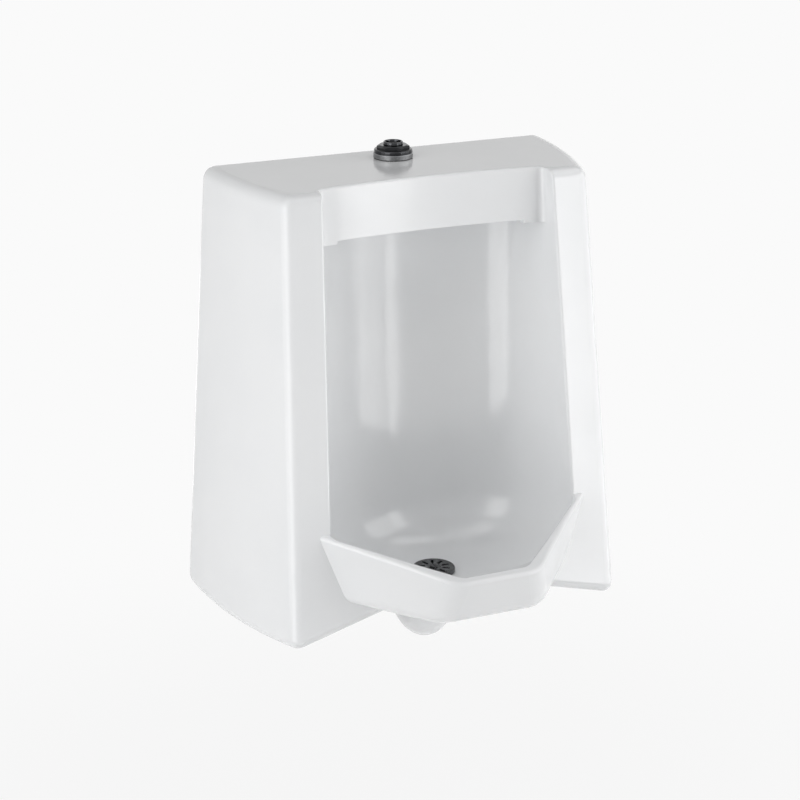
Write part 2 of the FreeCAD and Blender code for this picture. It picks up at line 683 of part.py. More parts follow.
ceiling = "(Dimensions.ceiling_drop + Dimensions.ceiling_step)"
box_half = "(Dimensions.opening_top + Dimensions.wall / 2)"
box_stock = add("Part::Box", "box_stock", Length="2 * " + box_half,
                Width="Dimensions.top_depth - Dimensions.box_back", Height=ceiling)
at(box_stock, x="-" + box_half, y="-Dimensions.top_depth", z="Dimensions.deck_height - " + ceiling)
face_sections = []
for name, drop in (("face_top", -size("crown_round")),
                   ("face_foot", size("ceiling_drop") + size("crown_round"))):
    section = add("Part::Feature", name)
    section.Shape = header_wire(drop)
    face_sections.append(section)
header_space = loft("header_space", face_sections, True)
ceiling_middle = add("Part::Box", "ceiling_middle", Length="2 * Dimensions.ceiling_half",
                     Width="Dimensions.top_depth - Dimensions.bowl_back_top - 2 * Dimensions.wall",
                     Height="2 * Dimensions.ceiling_step")
at(ceiling_middle, x="-Dimensions.ceiling_half", y="-Dimensions.top_depth",
   z="Dimensions.deck_height - Dimensions.ceiling_drop - 2 * Dimensions.ceiling_step")
box_faced = cut("box_faced", box_stock, fuse("box_cuts", [header_space, ceiling_middle]))
doc.recompute()
headed = fuse("headed", [carved, box_faced])
headed.Refine = True
doc.recompute()


def drop_of(spot):
    return size("deck_height") - spot.z


def header_edge(edge):
    """Upright corner between the header face and a shield."""
    spot = middle(edge)
    return (abs(spot.x) > size("opening_top") - size("wall") / 2
            and abs(spot.x) < size("opening_top") + size("front_margin")
            and near(spot.y, -(size("header_top_end") + size("header_foot_end")) / 2, 3)
            and near(drop_of(spot), size("ceiling_drop") / 2, 5) and edge.Length > size("ceiling_drop"))


def opening_edge(edge):
    """Edges between the shields' front faces, the deck and the bowl."""
    spot = middle(edge)
    inside = abs(spot.x) < opening_half(drop_of(spot)) + 0.5
    if near(drop_of(spot), 0, 0.05):
        return inside and -size("top_depth") < spot.y < -size("header_top_mid") + 1
    if drop_of(spot) < size("front_round"):
        return near(abs(spot.x), size("opening_top"), 1) and spot.y < -size("header_foot_end")
    return inside and borders_front(edge) and not near(spot.z, arch_level(spot.x, spot.y), 12)


cornered = rounded("cornered", headed, [("header_corner", header_edge)])
opened = rounded("opened", cornered, [("opening_round", opening_edge)])

# Lip: the basin's front wall, standing out of the front face, with a rim that falls forward.


def lip_wire(drop, root, half, depth, scale):
    z = size("deck_height") - drop
    drain = -size("drain_depth")
    ends = -front_reach(drop)
    back = -size("base_depth") + size("lip_root_inset")

    def spot(x, y):
        return FreeCAD.Vector(x * scale, drain + (y - drain) * scale, z)

    front = mouth_edges(root, ends, half, -depth, size("lip_round"), 0.0, spot)
    return Part.Wire([Part.makeLine(spot(root, ends), spot(root, back)),
                      Part.makeLine(spot(root, back), spot(-root, back)),
                      Part.makeLine(spot(-root, back), spot(-root, ends))] + front)


lip_foot = lip_wire(size("lip_foot_drop"), size("lip_foot_root"), size("lip_foot_half"),
                    mouth_depth() - size("lip_foot_inset"), 1.0)
lip_wall = loft("lip_wall", sections_of("lip_wall_plan", [
    lip_wire(size("lip_top_drop"), size("lip_top_root"), size("lip_top_half"),
             mouth_depth() + size("lip_top_reach"), 1.0), lip_foot]), True)
lip_under = loft("lip_under", sections_of("lip_under_plan", [
    lip_foot, lip_wire(size("lip_under_drop"), size("lip_foot_root"), size("lip_foot_half"),
                       mouth_depth() - size("lip_foot_inset"), size("lip_under_scale"))]), True)
fall = "tan(Dimensions.rim_angle)"
rim_near = ("Dimensions.deck_height - Dimensions.rim_level"
            " + (Dimensions.base_depth - Dimensions.rim_inset - Dimensions.drain_depth) * " + fall)
rim_far = ("Dimensions.deck_height - Dimensions.rim_level"
           " - (Dimensions.base_depth + Dimensions.rim_inset) * " + fall)
above_rim = extruded("above_rim", polygon("above_rim_profile", facing_x, [
    ("-Dimensions.drain_depth", rim_near), ("-2 * Dimensions.base_depth", rim_far),
    ("-2 * Dimensions.base_depth", "Dimensions.deck_height"),
    ("-Dimensions.drain_depth", "Dimensions.deck_height")]),
    "4 * Dimensions.base_back_half", (1, 0, 0), True)
lip_block = fuse("lip_block", [lip_wall, lip_under])
lip_sharp = cut("lip_sharp", lip_block, above_rim)
doc.recompute()


def rim_height(y):
    return (size("deck_height") - size("rim_level")
            + (y + rim_depth()) * math.tan(math.radians(size("rim_angle"))))


def on_rim(edge):
    spots = [edge.valueAt(edge.FirstParameter + share * (edge.LastParameter - edge.FirstParameter))
             for share in (0.1, 0.5, 0.9)]
    return all(near(spot.z, rim_height(spot.y), 0.1) for spot in spots)


def inside_mouth(edge):
    """True on the inner side of the rim, which is nearer to the drain axis."""
    spot = middle(edge)
    half = size("mouth_half") + size("rim_round")
    reach = mouth_depth() + size("rim_round") / 2
    side = (opening_half(size("rim_level")) - half) / (reach - rim_depth())
    return -spot.y < reach and abs(spot.x) < half + side * (reach + spot.y)


def lip_foot_edge(edge):
    spots = [edge.valueAt(edge.FirstParameter + share * (edge.LastParameter - edge.FirstParameter))
             for share in (0.1, 0.5, 0.9)]
    level = size("deck_height") - size("lip_foot_drop")
    return all(near(spot.z, level, 0.1) for spot in spots) and spots[1].y < -front_reach(
        size("lip_foot_drop")) - 1


lip_soft = rounded("lip_soft", lip_sharp, [
    ("lip_edge_round", lip_foot_edge),
    ("rim_round", lambda edge: on_rim(edge) and middle(edge).y < -front_reach(drop_of(middle(edge))) - 1),
])
lip_carved = cut("lip_carved", lip_soft, bowl_cut)
lip = rounded("lip", lip_carved, [
    ("rim_inner_round", lambda edge: on_rim(edge) and inside_mouth(edge)
     and middle(edge).y < -(rim_depth() + mouth_depth()) / 2),
])

# Flush channel, inlet, wash holes, drain, trap passage and bolt holes.

channel = add("Part::Box", "channel", Length="2 * Dimensions.channel_half",
              Width="Dimensions.channel_front - Dimensions.box_back - Dimensions.box_back_wall",
              Height="Dimensions.ceiling_drop - Dimensions.channel_floor - Dimensions.wall")
at(channel, x="-Dimensions.channel_half", y="-Dimensions.channel_front",
   z="Dimensions.deck_height - Dimensions.ceiling_drop + Dimensions.channel_floor")
inlet = add("Part::Cylinder", "inlet", Radius="Dimensions.spud_hole", Height="3 * Dimensions.wall")
at(inlet, y="-Dimensions.spud_depth", z="Dimensions.deck_height - 1.5 * Dimensions.wall")
wash_holes = []
for number in range(int(size("wash_count"))):
    hole = add("Part::Cylinder", "wash_hole_%d" % number, Radius="Dimensions.wash_radius",
               Height="3 * Dimensions.channel_floor")
    at(hole, x="Dimensions.wash_pitch * (%d - (Dimensions.wash_count - 1) / 2)" % number,
       y="-Dimensions.wash_depth",
       z="Dimensions.deck_height - Dimensions.ceiling_drop - Dimensions.channel_floor")
    wash_holes.append(hole)
groove = add("Part::Cylinder", "groove", Radius="Dimensions.bar_groove",
             Height="Dimensions.bar_groove_height")
at(groove, y="-Dimensions.drain_depth",
   z="Dimensions.deck_height - Dimensions.floor_drop - Dimensions.bar_ledge"
   " - Dimensions.bar_groove_height")

china_solid = fuse("china_solid", [opened, lip, trap] + ears + rails)
china_body = cut("china_body", china_solid, fuse(
    "china_holes", [passage, channel, inlet, groove] + wash_holes + bolt_holes))
doc.recompute()

# Tools for the small parts.


def own_sketch(body, name, plane):
    """Sketch on one of the body's own origin planes."""
    sketch = body.newObject("Sketcher::SketchObject", name)
    sketch.Label = name
    for feature in body.Origin.OriginFeatures:
        if feature.Role == plane:
            sketch.AttachmentSupport = [(feature, "")]
    sketch.MapMode = "FlatFace"
    return sketch


def turned(name, profile):
    """Body turned about its Z axis from a profile of (radius, height) formulas."""
    body = add("PartDesign::Body", name)
    sketch = own_sketch(body, name + "_profile", "XZ_Plane")
    draw(sketch, profile)
    feature = body.newObject("PartDesign::Revolution", name + "_turned")
    feature.Profile = sketch
    feature.ReferenceAxis = (sketch, ["V_Axis"])
    feature.Angle = 360
    doc.recompute()
    return body


def ring(inside, outside, height):
    return [(inside, "0"), (outside, "0"), (outside, height), (inside, height)]


def pocketed(body, name, sketch, depth=None):
    """Pocket through the body on both sides of the sketch, or to a depth formula."""
    pocket = body.newObject("PartDesign::Pocket", name)
    pocket.Profile = sketch
    pocket.SideType = "Symmetric"
    if depth is None:
        pocket.Type = "ThroughAll"
    else:
        pocket.Type = "Length"
        bind(pocket, Length=depth)
    doc.recompute()
    return pocket


def hole_plan(body, name, plane, centres, radius):
    """Circles at pairs of formulas on one of the body's planes."""
    sketch = own_sketch(body, name, plane)
    value = float(sketch.evalExpression(radius))
    for across, up in centres:
        spot = FreeCAD.Vector(float(sketch.evalExpression(across)),
                              float(sketch.evalExpression(up)), 0)
        number = sketch.addGeometry(Part.Circle(spot, FreeCAD.Vector(0, 0, 1), value))
        pin(sketch, number, 3, spot, across, up)
        place = sketch.addConstraint(Sketcher.Constraint("Radius", number, value))
        sketch.setExpression("Constraints[%d]" % place, radius)
    return sketch


def slot_plan(body, name, plane, start, end, width):
    """Slot with round ends along the sketch's X axis."""
    sketch = own_sketch(body, name, plane)
    first = FreeCAD.Vector(float(sketch.evalExpression(start)), 0, 0)
    last = FreeCAD.Vector(float(sketch.evalExpression(end)), 0, 0)
    radius = float(sketch.evalExpression(width)) / 2
    side = FreeCAD.Vector(0, radius, 0)
    up = FreeCAD.Vector(0, 0, 1)
    sketch.addGeometry(Part.LineSegment(last.add(side), first.add(side)))
    sketch.addGeometry(Part.ArcOfCircle(Part.Circle(first, up, radius), math.pi / 2, 3 * math.pi / 2))
    sketch.addGeometry(Part.LineSegment(first.sub(side), last.sub(side)))
    sketch.addGeometry(Part.ArcOfCircle(Part.Circle(last, up, radius), -math.pi / 2, math.pi / 2))
    sketch.addConstraint([
        Sketcher.Constraint("Tangent", 0, 2, 1, 1),
        Sketcher.Constraint("Tangent", 1, 2, 2, 1),
        Sketcher.Constraint("Tangent", 2, 2, 3, 1),
        Sketcher.Constraint("Tangent", 3, 2, 0, 1),
        Sketcher.Constraint("Horizontal", 0),
    ])
    pin(sketch, 1, 3, first, start, "0")
    place = sketch.addConstraint(Sketcher.Constraint("DistanceX", -1, 1, 3, 3, last.x))
    sketch.setExpression("Constraints[%d]" % place, end)
    place = sketch.addConstraint(Sketcher.Constraint("Radius", 1, radius))
    sketch.setExpression("Constraints[%d]" % place, "%s / 2" % width)
    return sketch


def softened(body, name, radius, test):
    """Fillet on the edges of a body that pass a test."""
    doc.recompute()
    tip = body.Tip
    edges = ["Edge%d" % number for number, edge in enumerate(tip.Shape.Edges, start=1) if test(edge)]
    fillet = body.newObject("PartDesign::Fillet", name)
    fillet.Base = (tip, edges)
    bind(fillet, Radius=radius)
    doc.recompute()
    return fillet


def is_rim(radius, height):
    """Test for a full circle of a given radius and height about the Z axis."""
    def test(edge):
        return (hasattr(edge.Curve, "Radius") and near(edge.Curve.Radius, radius, 0.01)
                and near(edge.Curve.Center.z, height, 0.01))
    return test


def hexagon(name, flats, height):
    """Hexagonal prism whose upper corners are turned off at thirty degrees."""
    prism = add("Part::Prism", name + "_prism", Height=height,
                Circumradius="%s / 2 / cos(30)" % flats)
    prism.Polygon = 6
    cone = add("Part::Cone", name + "_cone", Height=height, Radius2="%s * 0.48" % flats,
               Radius1="%s * 0.48 + %s / tan(30)" % (flats, height))
    item = add("Part::Common", name)
    item.Base = prism
    item.Tool = cone
    return item


# Inlet spud: a tube and its seal, drawn up under the deck by a ring and a lock nut.

head_top = "-Dimensions.wall - Dimensions.seal_height"
head_foot = head_top + " - Dimensions.spud_head"
spud_foot = head_foot + " - Dimensions.spud_tail"
spud_tube = turned("spud_tube", [
    ("Dimensions.spud_bore", spud_foot),
    ("Dimensions.spud_radius", spud_foot),
    ("Dimensions.spud_radius", head_foot),
    ("Dimensions.spud_head_radius", head_foot),
    ("Dimensions.spud_head_radius", head_top),
    ("Dimensions.spud_radius", head_top),
    ("Dimensions.spud_radius", "Dimensions.spud_rise"),
    ("Dimensions.spud_bore", "Dimensions.spud_rise"),
])
loose_bore = "Dimensions.spud_radius + Dimensions.washer_clearance"
spud_seal = turned("spud_seal", ring(loose_bore, "Dimensions.seal_radius", "-Dimensions.seal_height"))
softened(spud_seal, "spud_seal_round", "Dimensions.seal_round",
         is_rim(size("seal_radius"), -size("seal_height")))
spud_pad = turned("spud_pad", ring(loose_bore, "Dimensions.pad_radius", "Dimensions.pad_height"))
spud_ring = turned("spud_ring", ring(loose_bore, "Dimensions.ring_radius", "Dimensions.ring_height"))
softened(spud_ring, "spud_ring_round", "Dimensions.ring_round",
         is_rim(size("ring_radius"), size("ring_height")))
ring_seat = "Dimensions.deck_height + Dimensions.pad_height"
nut_seat = ring_seat + " + Dimensions.ring_height"
for item, seat in ((spud_tube, "Dimensions.deck_height"),
                   (spud_seal, "Dimensions.deck_height - Dimensions.wall"),
                   (spud_pad, "Dimensions.deck_height"), (spud_ring, ring_seat)):
    at(item, y="-Dimensions.spud_depth", z=seat)

nut_flange = add("Part::Cylinder", "nut_flange", Radius="Dimensions.nut_flange_radius",
                 Height="Dimensions.nut_flange_height")
nut_foot = rounded("nut_foot", nut_flange, [
    ("nut_flange_round", is_rim(size("nut_flange_radius"), size("nut_flange_height")))])
nut_hex = at(hexagon("nut_hex", "Dimensions.nut_flats", "Dimensions.nut_hex_height"),
             z="Dimensions.nut_flange_height")
nut_bore = add("Part::Cylinder", "nut_bore",
               Radius="Dimensions.spud_radius + Dimensions.thread_clearance",
               Height="Dimensions.nut_flange_height + Dimensions.nut_hex_height")
spud_locknut = cut("spud_locknut", fuse("nut_blank", [nut_foot, nut_hex]), nut_bore)
at(spud_locknut, y="-Dimensions.spud_depth", z=nut_seat)
bind(spud_locknut, Placement__Rotation__Angle="Dimensions.nut_turn")

# Strainer: a slotted plate on a seal, held by one screw and a bar under the china ledge.

bowl_floor = "Dimensions.deck_height - Dimensions.floor_drop"
plate_top = "Dimensions.strainer_rise - Dimensions.gasket_height"
plate_under = plate_top + " - Dimensions.strainer_plate"
skirt_inside = "Dimensions.strainer_radius - Dimensions.strainer_skirt"
screw_bore = "Dimensions.screw_radius + Dimensions.screw_clearance"
strainer_plate = turned("strainer_plate", [
    (skirt_inside, "0"), ("Dimensions.strainer_radius", "0"),
    ("Dimensions.strainer_radius", plate_top), (screw_bore, plate_top),
    (screw_bore, plate_under), (skirt_inside, plate_under),
])
softened(strainer_plate, "strainer_edge_round", "Dimensions.strainer_edge",
         is_rim(size("strainer_radius"), size("strainer_rise") - size("gasket_height")))
slot_shape = slot_plan(strainer_plate, "slot_plan", "XY_Plane",
                       "Dimensions.slot_inner + Dimensions.slot_width / 2",
                       "Dimensions.slot_outer - Dimensions.slot_width / 2", "Dimensions.slot_width")
slot = pocketed(strainer_plate, "slot", slot_shape)
slots = strainer_plate.newObject("PartDesign::PolarPattern", "slots")
slots.Originals = [slot]
slots.Axis = (slot_shape, ["N_Axis"])
slots.Angle = 360
bind(slots, Occurrences="Dimensions.slot_count")
strainer_plate.Tip = slots
doc.recompute()
strainer_seal = turned("strainer_seal", ring(
    "Dimensions.gasket_inner", "Dimensions.strainer_radius - Dimensions.strainer_edge",
    "Dimensions.gasket_height"))
screw_foot = ("-Dimensions.strainer_rise - Dimensions.bar_ledge - Dimensions.bar_height"
              " - Dimensions.screw_tip")
strainer_screw = turned("strainer_screw", [
    ("0", screw_foot), ("Dimensions.screw_radius", screw_foot), ("Dimensions.screw_radius", "0"),
    ("Dimensions.screw_head_radius", "0"), ("Dimensions.screw_head_radius", "Dimensions.screw_head"),
    ("0", "Dimensions.screw_head"),
])
softened(strainer_screw, "screw_head_round", "Dimensions.screw_head / 3",
         is_rim(size("screw_head_radius"), size("screw_head")))
driver = own_sketch(strainer_screw, "driver_plan", "XZ_Plane")
draw(driver, [
    ("-Dimensions.screw_slot / 2", "Dimensions.screw_head - Dimensions.screw_slot"),
    ("Dimensions.screw_slot / 2", "Dimensions.screw_head - Dimensions.screw_slot"),
    ("Dimensions.screw_slot / 2", "Dimensions.screw_head"),
    ("-Dimensions.screw_slot / 2", "Dimensions.screw_head"),
])
pocketed(strainer_screw, "driver_slot", driver)
strainer_bar = add("PartDesign::Body", "strainer_bar")
bar_pad = strainer_bar.newObject("PartDesign::Pad", "bar_pad")
bar_pad.Profile = slot_plan(strainer_bar, "bar_plan", "XY_Plane",
                            "-Dimensions.bar_half + Dimensions.bar_width / 2",
                            "Dimensions.bar_half - Dimensions.bar_width / 2", "Dimensions.bar_width")
bind(bar_pad, Length="Dimensions.bar_height")
doc.recompute()
pocketed(strainer_bar, "bar_hole", hole_plan(
    strainer_bar, "bar_hole_plan", "XY_Plane", [("0", "0")],
    "Dimensions.screw_radius + Dimensions.thread_clearance"))
for item, seat in ((strainer_seal, bowl_floor),
                   (strainer_plate, bowl_floor + " + Dimensions.gasket_height"),
                   (strainer_screw, bowl_floor + " + Dimensions.strainer_rise"),
                   (strainer_bar, bowl_floor + " - Dimensions.bar_ledge - Dimensions.bar_height")):
    at(item, y="-Dimensions.drain_depth", z=seat)

# Outlet: gasket and two-bolt flange with a pipe thread, clamped to the china ears.

outlet = "Dimensions.deck_height - Dimensions.outlet_drop"
flange_front = "-Dimensions.outlet_face + Dimensions.outlet_gasket"
flange_back = flange_front + " + Dimensions.flange_thickness"


def rod(name, radius, length, start, x="0"):
    """Cylinder along Y at the outlet's height."""
    return at(along_y(add("Part::Cylinder", name, Radius=radius, Height=length)),
              x=x, y=start, z=outlet)


outlet_gasket = cut(
    "outlet_gasket",
    rod("gasket_disc", "Dimensions.outlet_gasket_radius", "Dimensions.outlet_gasket",
        "-Dimensions.outlet_face"),
    rod("gasket_bore", "Dimensions.outlet_gasket_bore", "Dimensions.outlet_gasket",
        "-Dimensions.outlet_face"))
flange_web = add("Part::Box", "flange_web", Length="2 * Dimensions.bolt_half",
                 Width="Dimensions.flange_thickness", Height="2 * Dimensions.ear_radius")
at(flange_web, x="-Dimensions.bolt_half", y=flange_front, z=outlet + " - Dimensions.ear_radius")
flange_solids = [
    rod("flange_hub", "Dimensions.hub_radius", "Dimensions.flange_thickness + Dimensions.hub_length",
        flange_front),
    flange_web]
flange_holes = [
    rod("flange_bore", "Dimensions.outlet_gasket_bore", "Dimensions.flange_thickness", flange_front),
    rod("pipe_bore", "Dimensions.pipe_radius",
        "Dimensions.flange_thickness + Dimensions.hub_length - Dimensions.pipe_stop",
        flange_front + " + Dimensions.pipe_stop")]
bolt_seat = "-Dimensions.outlet_face - Dimensions.ear_thickness"
nut_seat_y = flange_back + " + Dimensions.bolt_washer"
bolts = []
washers = []
nuts = []
for side, x in (("left", "-Dimensions.bolt_half"), ("right", "Dimensions.bolt_half")):
    flange_solids.append(rod("flange_ear_" + side, "Dimensions.ear_radius",
                             "Dimensions.flange_thickness", flange_front, x))
    flange_holes.append(rod("flange_hole_" + side, "Dimensions.bolt_radius + Dimensions.bolt_clearance",
                            "Dimensions.flange_thickness", flange_front, x))
    head = hexagon("bolt_head_" + side, "Dimensions.head_flats", "Dimensions.head_height")
    head.Placement = FreeCAD.Placement(
        FreeCAD.Vector(), FreeCAD.Rotation(FreeCAD.Vector(1, 0, 0), 90))
    at(head, x=x, y=bolt_seat, z=outlet)
    shank = rod("bolt_shank_" + side, "Dimensions.bolt_radius",
                "Dimensions.ear_thickness + Dimensions.outlet_gasket + Dimensions.flange_thickness"
                " + Dimensions.bolt_washer + Dimensions.bolt_nut_height + Dimensions.bolt_tip",
                bolt_seat, x)
    bolts.append(fuse("bolt_" + side, [head, shank]))
    washers.append(cut(
        "washer_" + side,
        rod("washer_disc_" + side, "Dimensions.bolt_washer_radius", "Dimensions.bolt_washer",
            flange_back, x),
        rod("washer_hole_" + side, "Dimensions.bolt_radius + Dimensions.washer_clearance",
            "Dimensions.bolt_washer", flange_back, x)))
    nut = along_y(hexagon("nut_block_" + side, "Dimensions.head_flats", "Dimensions.bolt_nut_height"))
    at(nut, x=x, y=nut_seat_y, z=outlet)
    nuts.append(cut("nut_" + side, nut, rod(
        "nut_hole_" + side, "Dimensions.bolt_radius + Dimensions.thread_clearance",
        "Dimensions.bolt_nut_height", nut_seat_y, x)))
outlet_flange = cut("outlet_flange", fuse("flange_blank", flange_solids),
                    fuse("flange_cuts", flange_holes))
flange_bolts = fuse("flange_bolts", bolts)
flange_washers = fuse("flange_washers", washers)
flange_nuts = fuse("flange_nuts", nuts)
doc.recompute()

# Wall hangers: bent plates whose shelf and hook carry the china rails.

shelf = "Dimensions.deck_height - Dimensions.rail_drop"
plate_head = "Dimensions.deck_height - Dimensions.hanger_top_drop"
hook_face = "-Dimensions.box_back - Dimensions.box_back_wall - Dimensions.hanger_play"


def hanger(name, place):
    body = add("PartDesign::Body", name)
    profile = own_sketch(body, name + "_profile", "YZ_Plane")
    draw(profile, [
        ("0", plate_head), ("0", plate_head + " - Dimensions.hanger_length"),
        ("-Dimensions.hanger_thickness", plate_head + " - Dimensions.hanger_length"),
        ("-Dimensions.hanger_thickness", shelf + " - Dimensions.hanger_thickness"),
        (hook_face + " - Dimensions.hanger_thickness", shelf + " - Dimensions.hanger_thickness"),
        (hook_face + " - Dimensions.hanger_thickness", shelf + " + Dimensions.hanger_hook"),
        (hook_face, shelf + " + Dimensions.hanger_hook"), (hook_face, shelf),
        ("-Dimensions.hanger_thickness", shelf), ("-Dimensions.hanger_thickness", plate_head),
    ])
    plate = body.newObject("PartDesign::Pad", name + "_plate")
    plate.Profile = profile
    plate.SideType = "Symmetric"
    bind(plate, Length="Dimensions.hanger_width")
    outer = (size("box_back") + size("box_back_wall") + size("hanger_play")
             + size("hanger_thickness"))
    softened(body, name + "_bend", "Dimensions.hanger_bend", lambda edge: (
        near(middle(edge).y, -outer, 0.01) and near(middle(edge).x, 0, 0.01)
        and near(drop_of(middle(edge)), size("rail_drop") + size("hanger_thickness"), 0.01)))
    softened(body, name + "_corners", "Dimensions.hanger_corner", lambda edge: (
        near(middle(edge).y, -size("hanger_thickness") / 2, 0.01)
        and near(edge.Length, size("hanger_thickness"), 0.01)))
    pocketed(body, name + "_holes", hole_plan(
        body, name + "_hole_plan", "XZ_Plane",
        [("0", "Dimensions.hanger_screw_pitch / 2"), ("0", "-Dimensions.hanger_screw_pitch / 2")],
        "Dimensions.hanger_hole_radius"))
    return at(body, x=place)


hanger_left = hanger("hanger_left", "-Dimensions.hanger_half_pitch")
hanger_right = hanger("hanger_right", "Dimensions.hanger_half_pitch")

# One file for each part.

parts = (china_body, spud_tube, spud_seal, spud_pad, spud_ring, spud_locknut,
         strainer_plate, strainer_seal, strainer_screw, strainer_bar,
         outlet_gasket, outlet_flange, flange_bolts, flange_washers, flange_nuts,
         hanger_left, hanger_right)
doc.recompute()
for item in doc.Objects:
    if "Invalid" in item.State or "Error" in item.State:
        raise RuntimeError("%s did not build: %s" % (item.Label, item.State))
os.makedirs("parts", exist_ok=True)
for item in parts:
    if item.Shape.isNull() or not item.Shape.isValid():
        raise RuntimeError("%s has no valid shape" % item.Label)
    item.Shape.exportStep("parts/%s.step" % item.Label)
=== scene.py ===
from math import cos, pi, radians, sin, sqrt, tau

import bmesh
import bpy
from mathutils import Matrix, Vector


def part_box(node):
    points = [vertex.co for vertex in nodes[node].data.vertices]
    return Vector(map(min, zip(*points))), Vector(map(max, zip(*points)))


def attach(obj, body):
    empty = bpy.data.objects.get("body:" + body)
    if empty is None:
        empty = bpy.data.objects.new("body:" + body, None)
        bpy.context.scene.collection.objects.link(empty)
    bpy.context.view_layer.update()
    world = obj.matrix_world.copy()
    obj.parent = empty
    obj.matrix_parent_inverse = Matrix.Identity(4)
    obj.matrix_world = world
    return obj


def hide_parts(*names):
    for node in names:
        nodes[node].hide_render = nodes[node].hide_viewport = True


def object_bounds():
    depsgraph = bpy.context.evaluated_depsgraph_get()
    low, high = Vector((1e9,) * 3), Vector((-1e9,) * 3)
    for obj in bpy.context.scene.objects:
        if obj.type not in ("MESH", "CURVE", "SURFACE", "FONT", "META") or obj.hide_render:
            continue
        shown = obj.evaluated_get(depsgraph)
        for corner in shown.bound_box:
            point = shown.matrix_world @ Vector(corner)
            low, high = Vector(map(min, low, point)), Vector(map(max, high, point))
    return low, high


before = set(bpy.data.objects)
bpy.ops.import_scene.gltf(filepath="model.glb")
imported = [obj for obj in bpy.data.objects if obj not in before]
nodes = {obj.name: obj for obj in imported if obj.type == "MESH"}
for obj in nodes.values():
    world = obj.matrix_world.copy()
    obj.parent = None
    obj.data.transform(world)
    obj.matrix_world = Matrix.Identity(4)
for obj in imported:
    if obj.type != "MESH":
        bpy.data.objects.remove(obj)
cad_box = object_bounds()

bpy.context.scene.view_settings.view_transform = "Standard"
MM = 0.001

# Camera and stage, in metres and degrees

CAMERA_AZIMUTH = 23.78
CAMERA_ELEVATION = 19.29
CAMERA_PLACE = (-1.0096, -2.3655, 0.7002)
CAMERA_LENS = 96.99
CAMERA_SENSOR = 36.0
CAMERA_FAR = 50.0

FLOOR_BELOW = 0.45
FLOOR_HALF = 12.0
FLOOR_ROUGHNESS = 0.9
SHADOW_REACH = 1.6
SHADOW_SHARE = 0.10

PALE = 0.956
PALE_GREY = (PALE, PALE, PALE, 1.0)
WHITE = (1.0, 1.0, 1.0, 1.0)
AMBIENT = 0.09
LAMP_DISTANCE = 2.0

# name, azimuth, elevation, width, height, power in watts
SOFTBOXES = (
    ("left_side", -88.0, 8.0, 1.10, 2.2, 10.0),
    ("left_front", -61.0, 4.0, 1.00, 2.2, 19.6),
    ("right_front", 29.5, -4.0, 0.24, 2.6, 7.6),
    ("right_middle", 46.0, 4.0, 0.80, 2.2, 12.2),
    ("right_side", 74.0, 4.0, 1.10, 2.2, 16.2),
    ("over_front", 0.0, 72.0, 1.30, 0.9, 1.8),
    ("over_left", -70.0, 56.0, 1.30, 0.9, 6.3),
    ("over_right", 66.0, 56.0, 1.30, 0.9, 5.7),
    ("behind", 180.0, -20.0, 1.40, 0.8, 3.5),
)


def set_camera():
    """Camera at the place that was fitted to the photograph."""
    data = bpy.data.cameras.new("camera")
    data.lens = CAMERA_LENS
    data.sensor_width = CAMERA_SENSOR
    data.clip_end = CAMERA_FAR
    camera = bpy.data.objects.new("camera", data)
    camera.location = CAMERA_PLACE
    camera.rotation_euler = (radians(90.0 - CAMERA_ELEVATION), 0.0, radians(-CAMERA_AZIMUTH))
    bpy.context.collection.objects.link(camera)
    bpy.context.scene.camera = camera


def seen_rays(tree):
    """Value that is 1 on camera, glossy and transmission rays."""
    path = tree.nodes.new("ShaderNodeLightPath").outputs
    shine = maths(tree, "MAXIMUM", path["Is Glossy Ray"], path["Is Transmission Ray"])
    return maths(tree, "MAXIMUM", path["Is Camera Ray"], shine)


def set_world():
    """Dim even light, seen as a pale backdrop."""
    world = bpy.data.worlds.new("studio")
    bpy.context.scene.world = world
    world.use_nodes = True
    tree = world.node_tree
    tree.nodes.clear()
    out = tree.nodes.new("ShaderNodeOutputWorld")
    room = tree.nodes.new("ShaderNodeBackground")
    room.inputs["Color"].default_value = WHITE
    room.inputs["Strength"].default_value = AMBIENT
    backdrop = tree.nodes.new("ShaderNodeBackground")
    backdrop.inputs["Color"].default_value = PALE_GREY
    light = mix_shaders(tree, seen_rays(tree), room.outputs[0], backdrop.outputs[0])
    tree.links.new(light, out.inputs["Surface"])


def softbox(name, azimuth, elevation, width, height, power):
    """Rectangular lamp that faces the middle of the object."""
    data = bpy.data.lights.new(name, "AREA")
    data.shape = "RECTANGLE"
    data.size = width
    data.size_y = height
    data.energy = power
    lamp = bpy.data.objects.new(name, data)
    turn = radians(azimuth)
    rise = radians(elevation)
    away = Vector((sin(turn) * cos(rise), -cos(turn) * cos(rise), sin(rise)))
    lamp.location = (cad_box[0] + cad_box[1]) / 2 + away * LAMP_DISTANCE
    lamp.rotation_euler = away.to_track_quat("Z", "Y").to_euler()
    bpy.context.collection.objects.link(lamp)


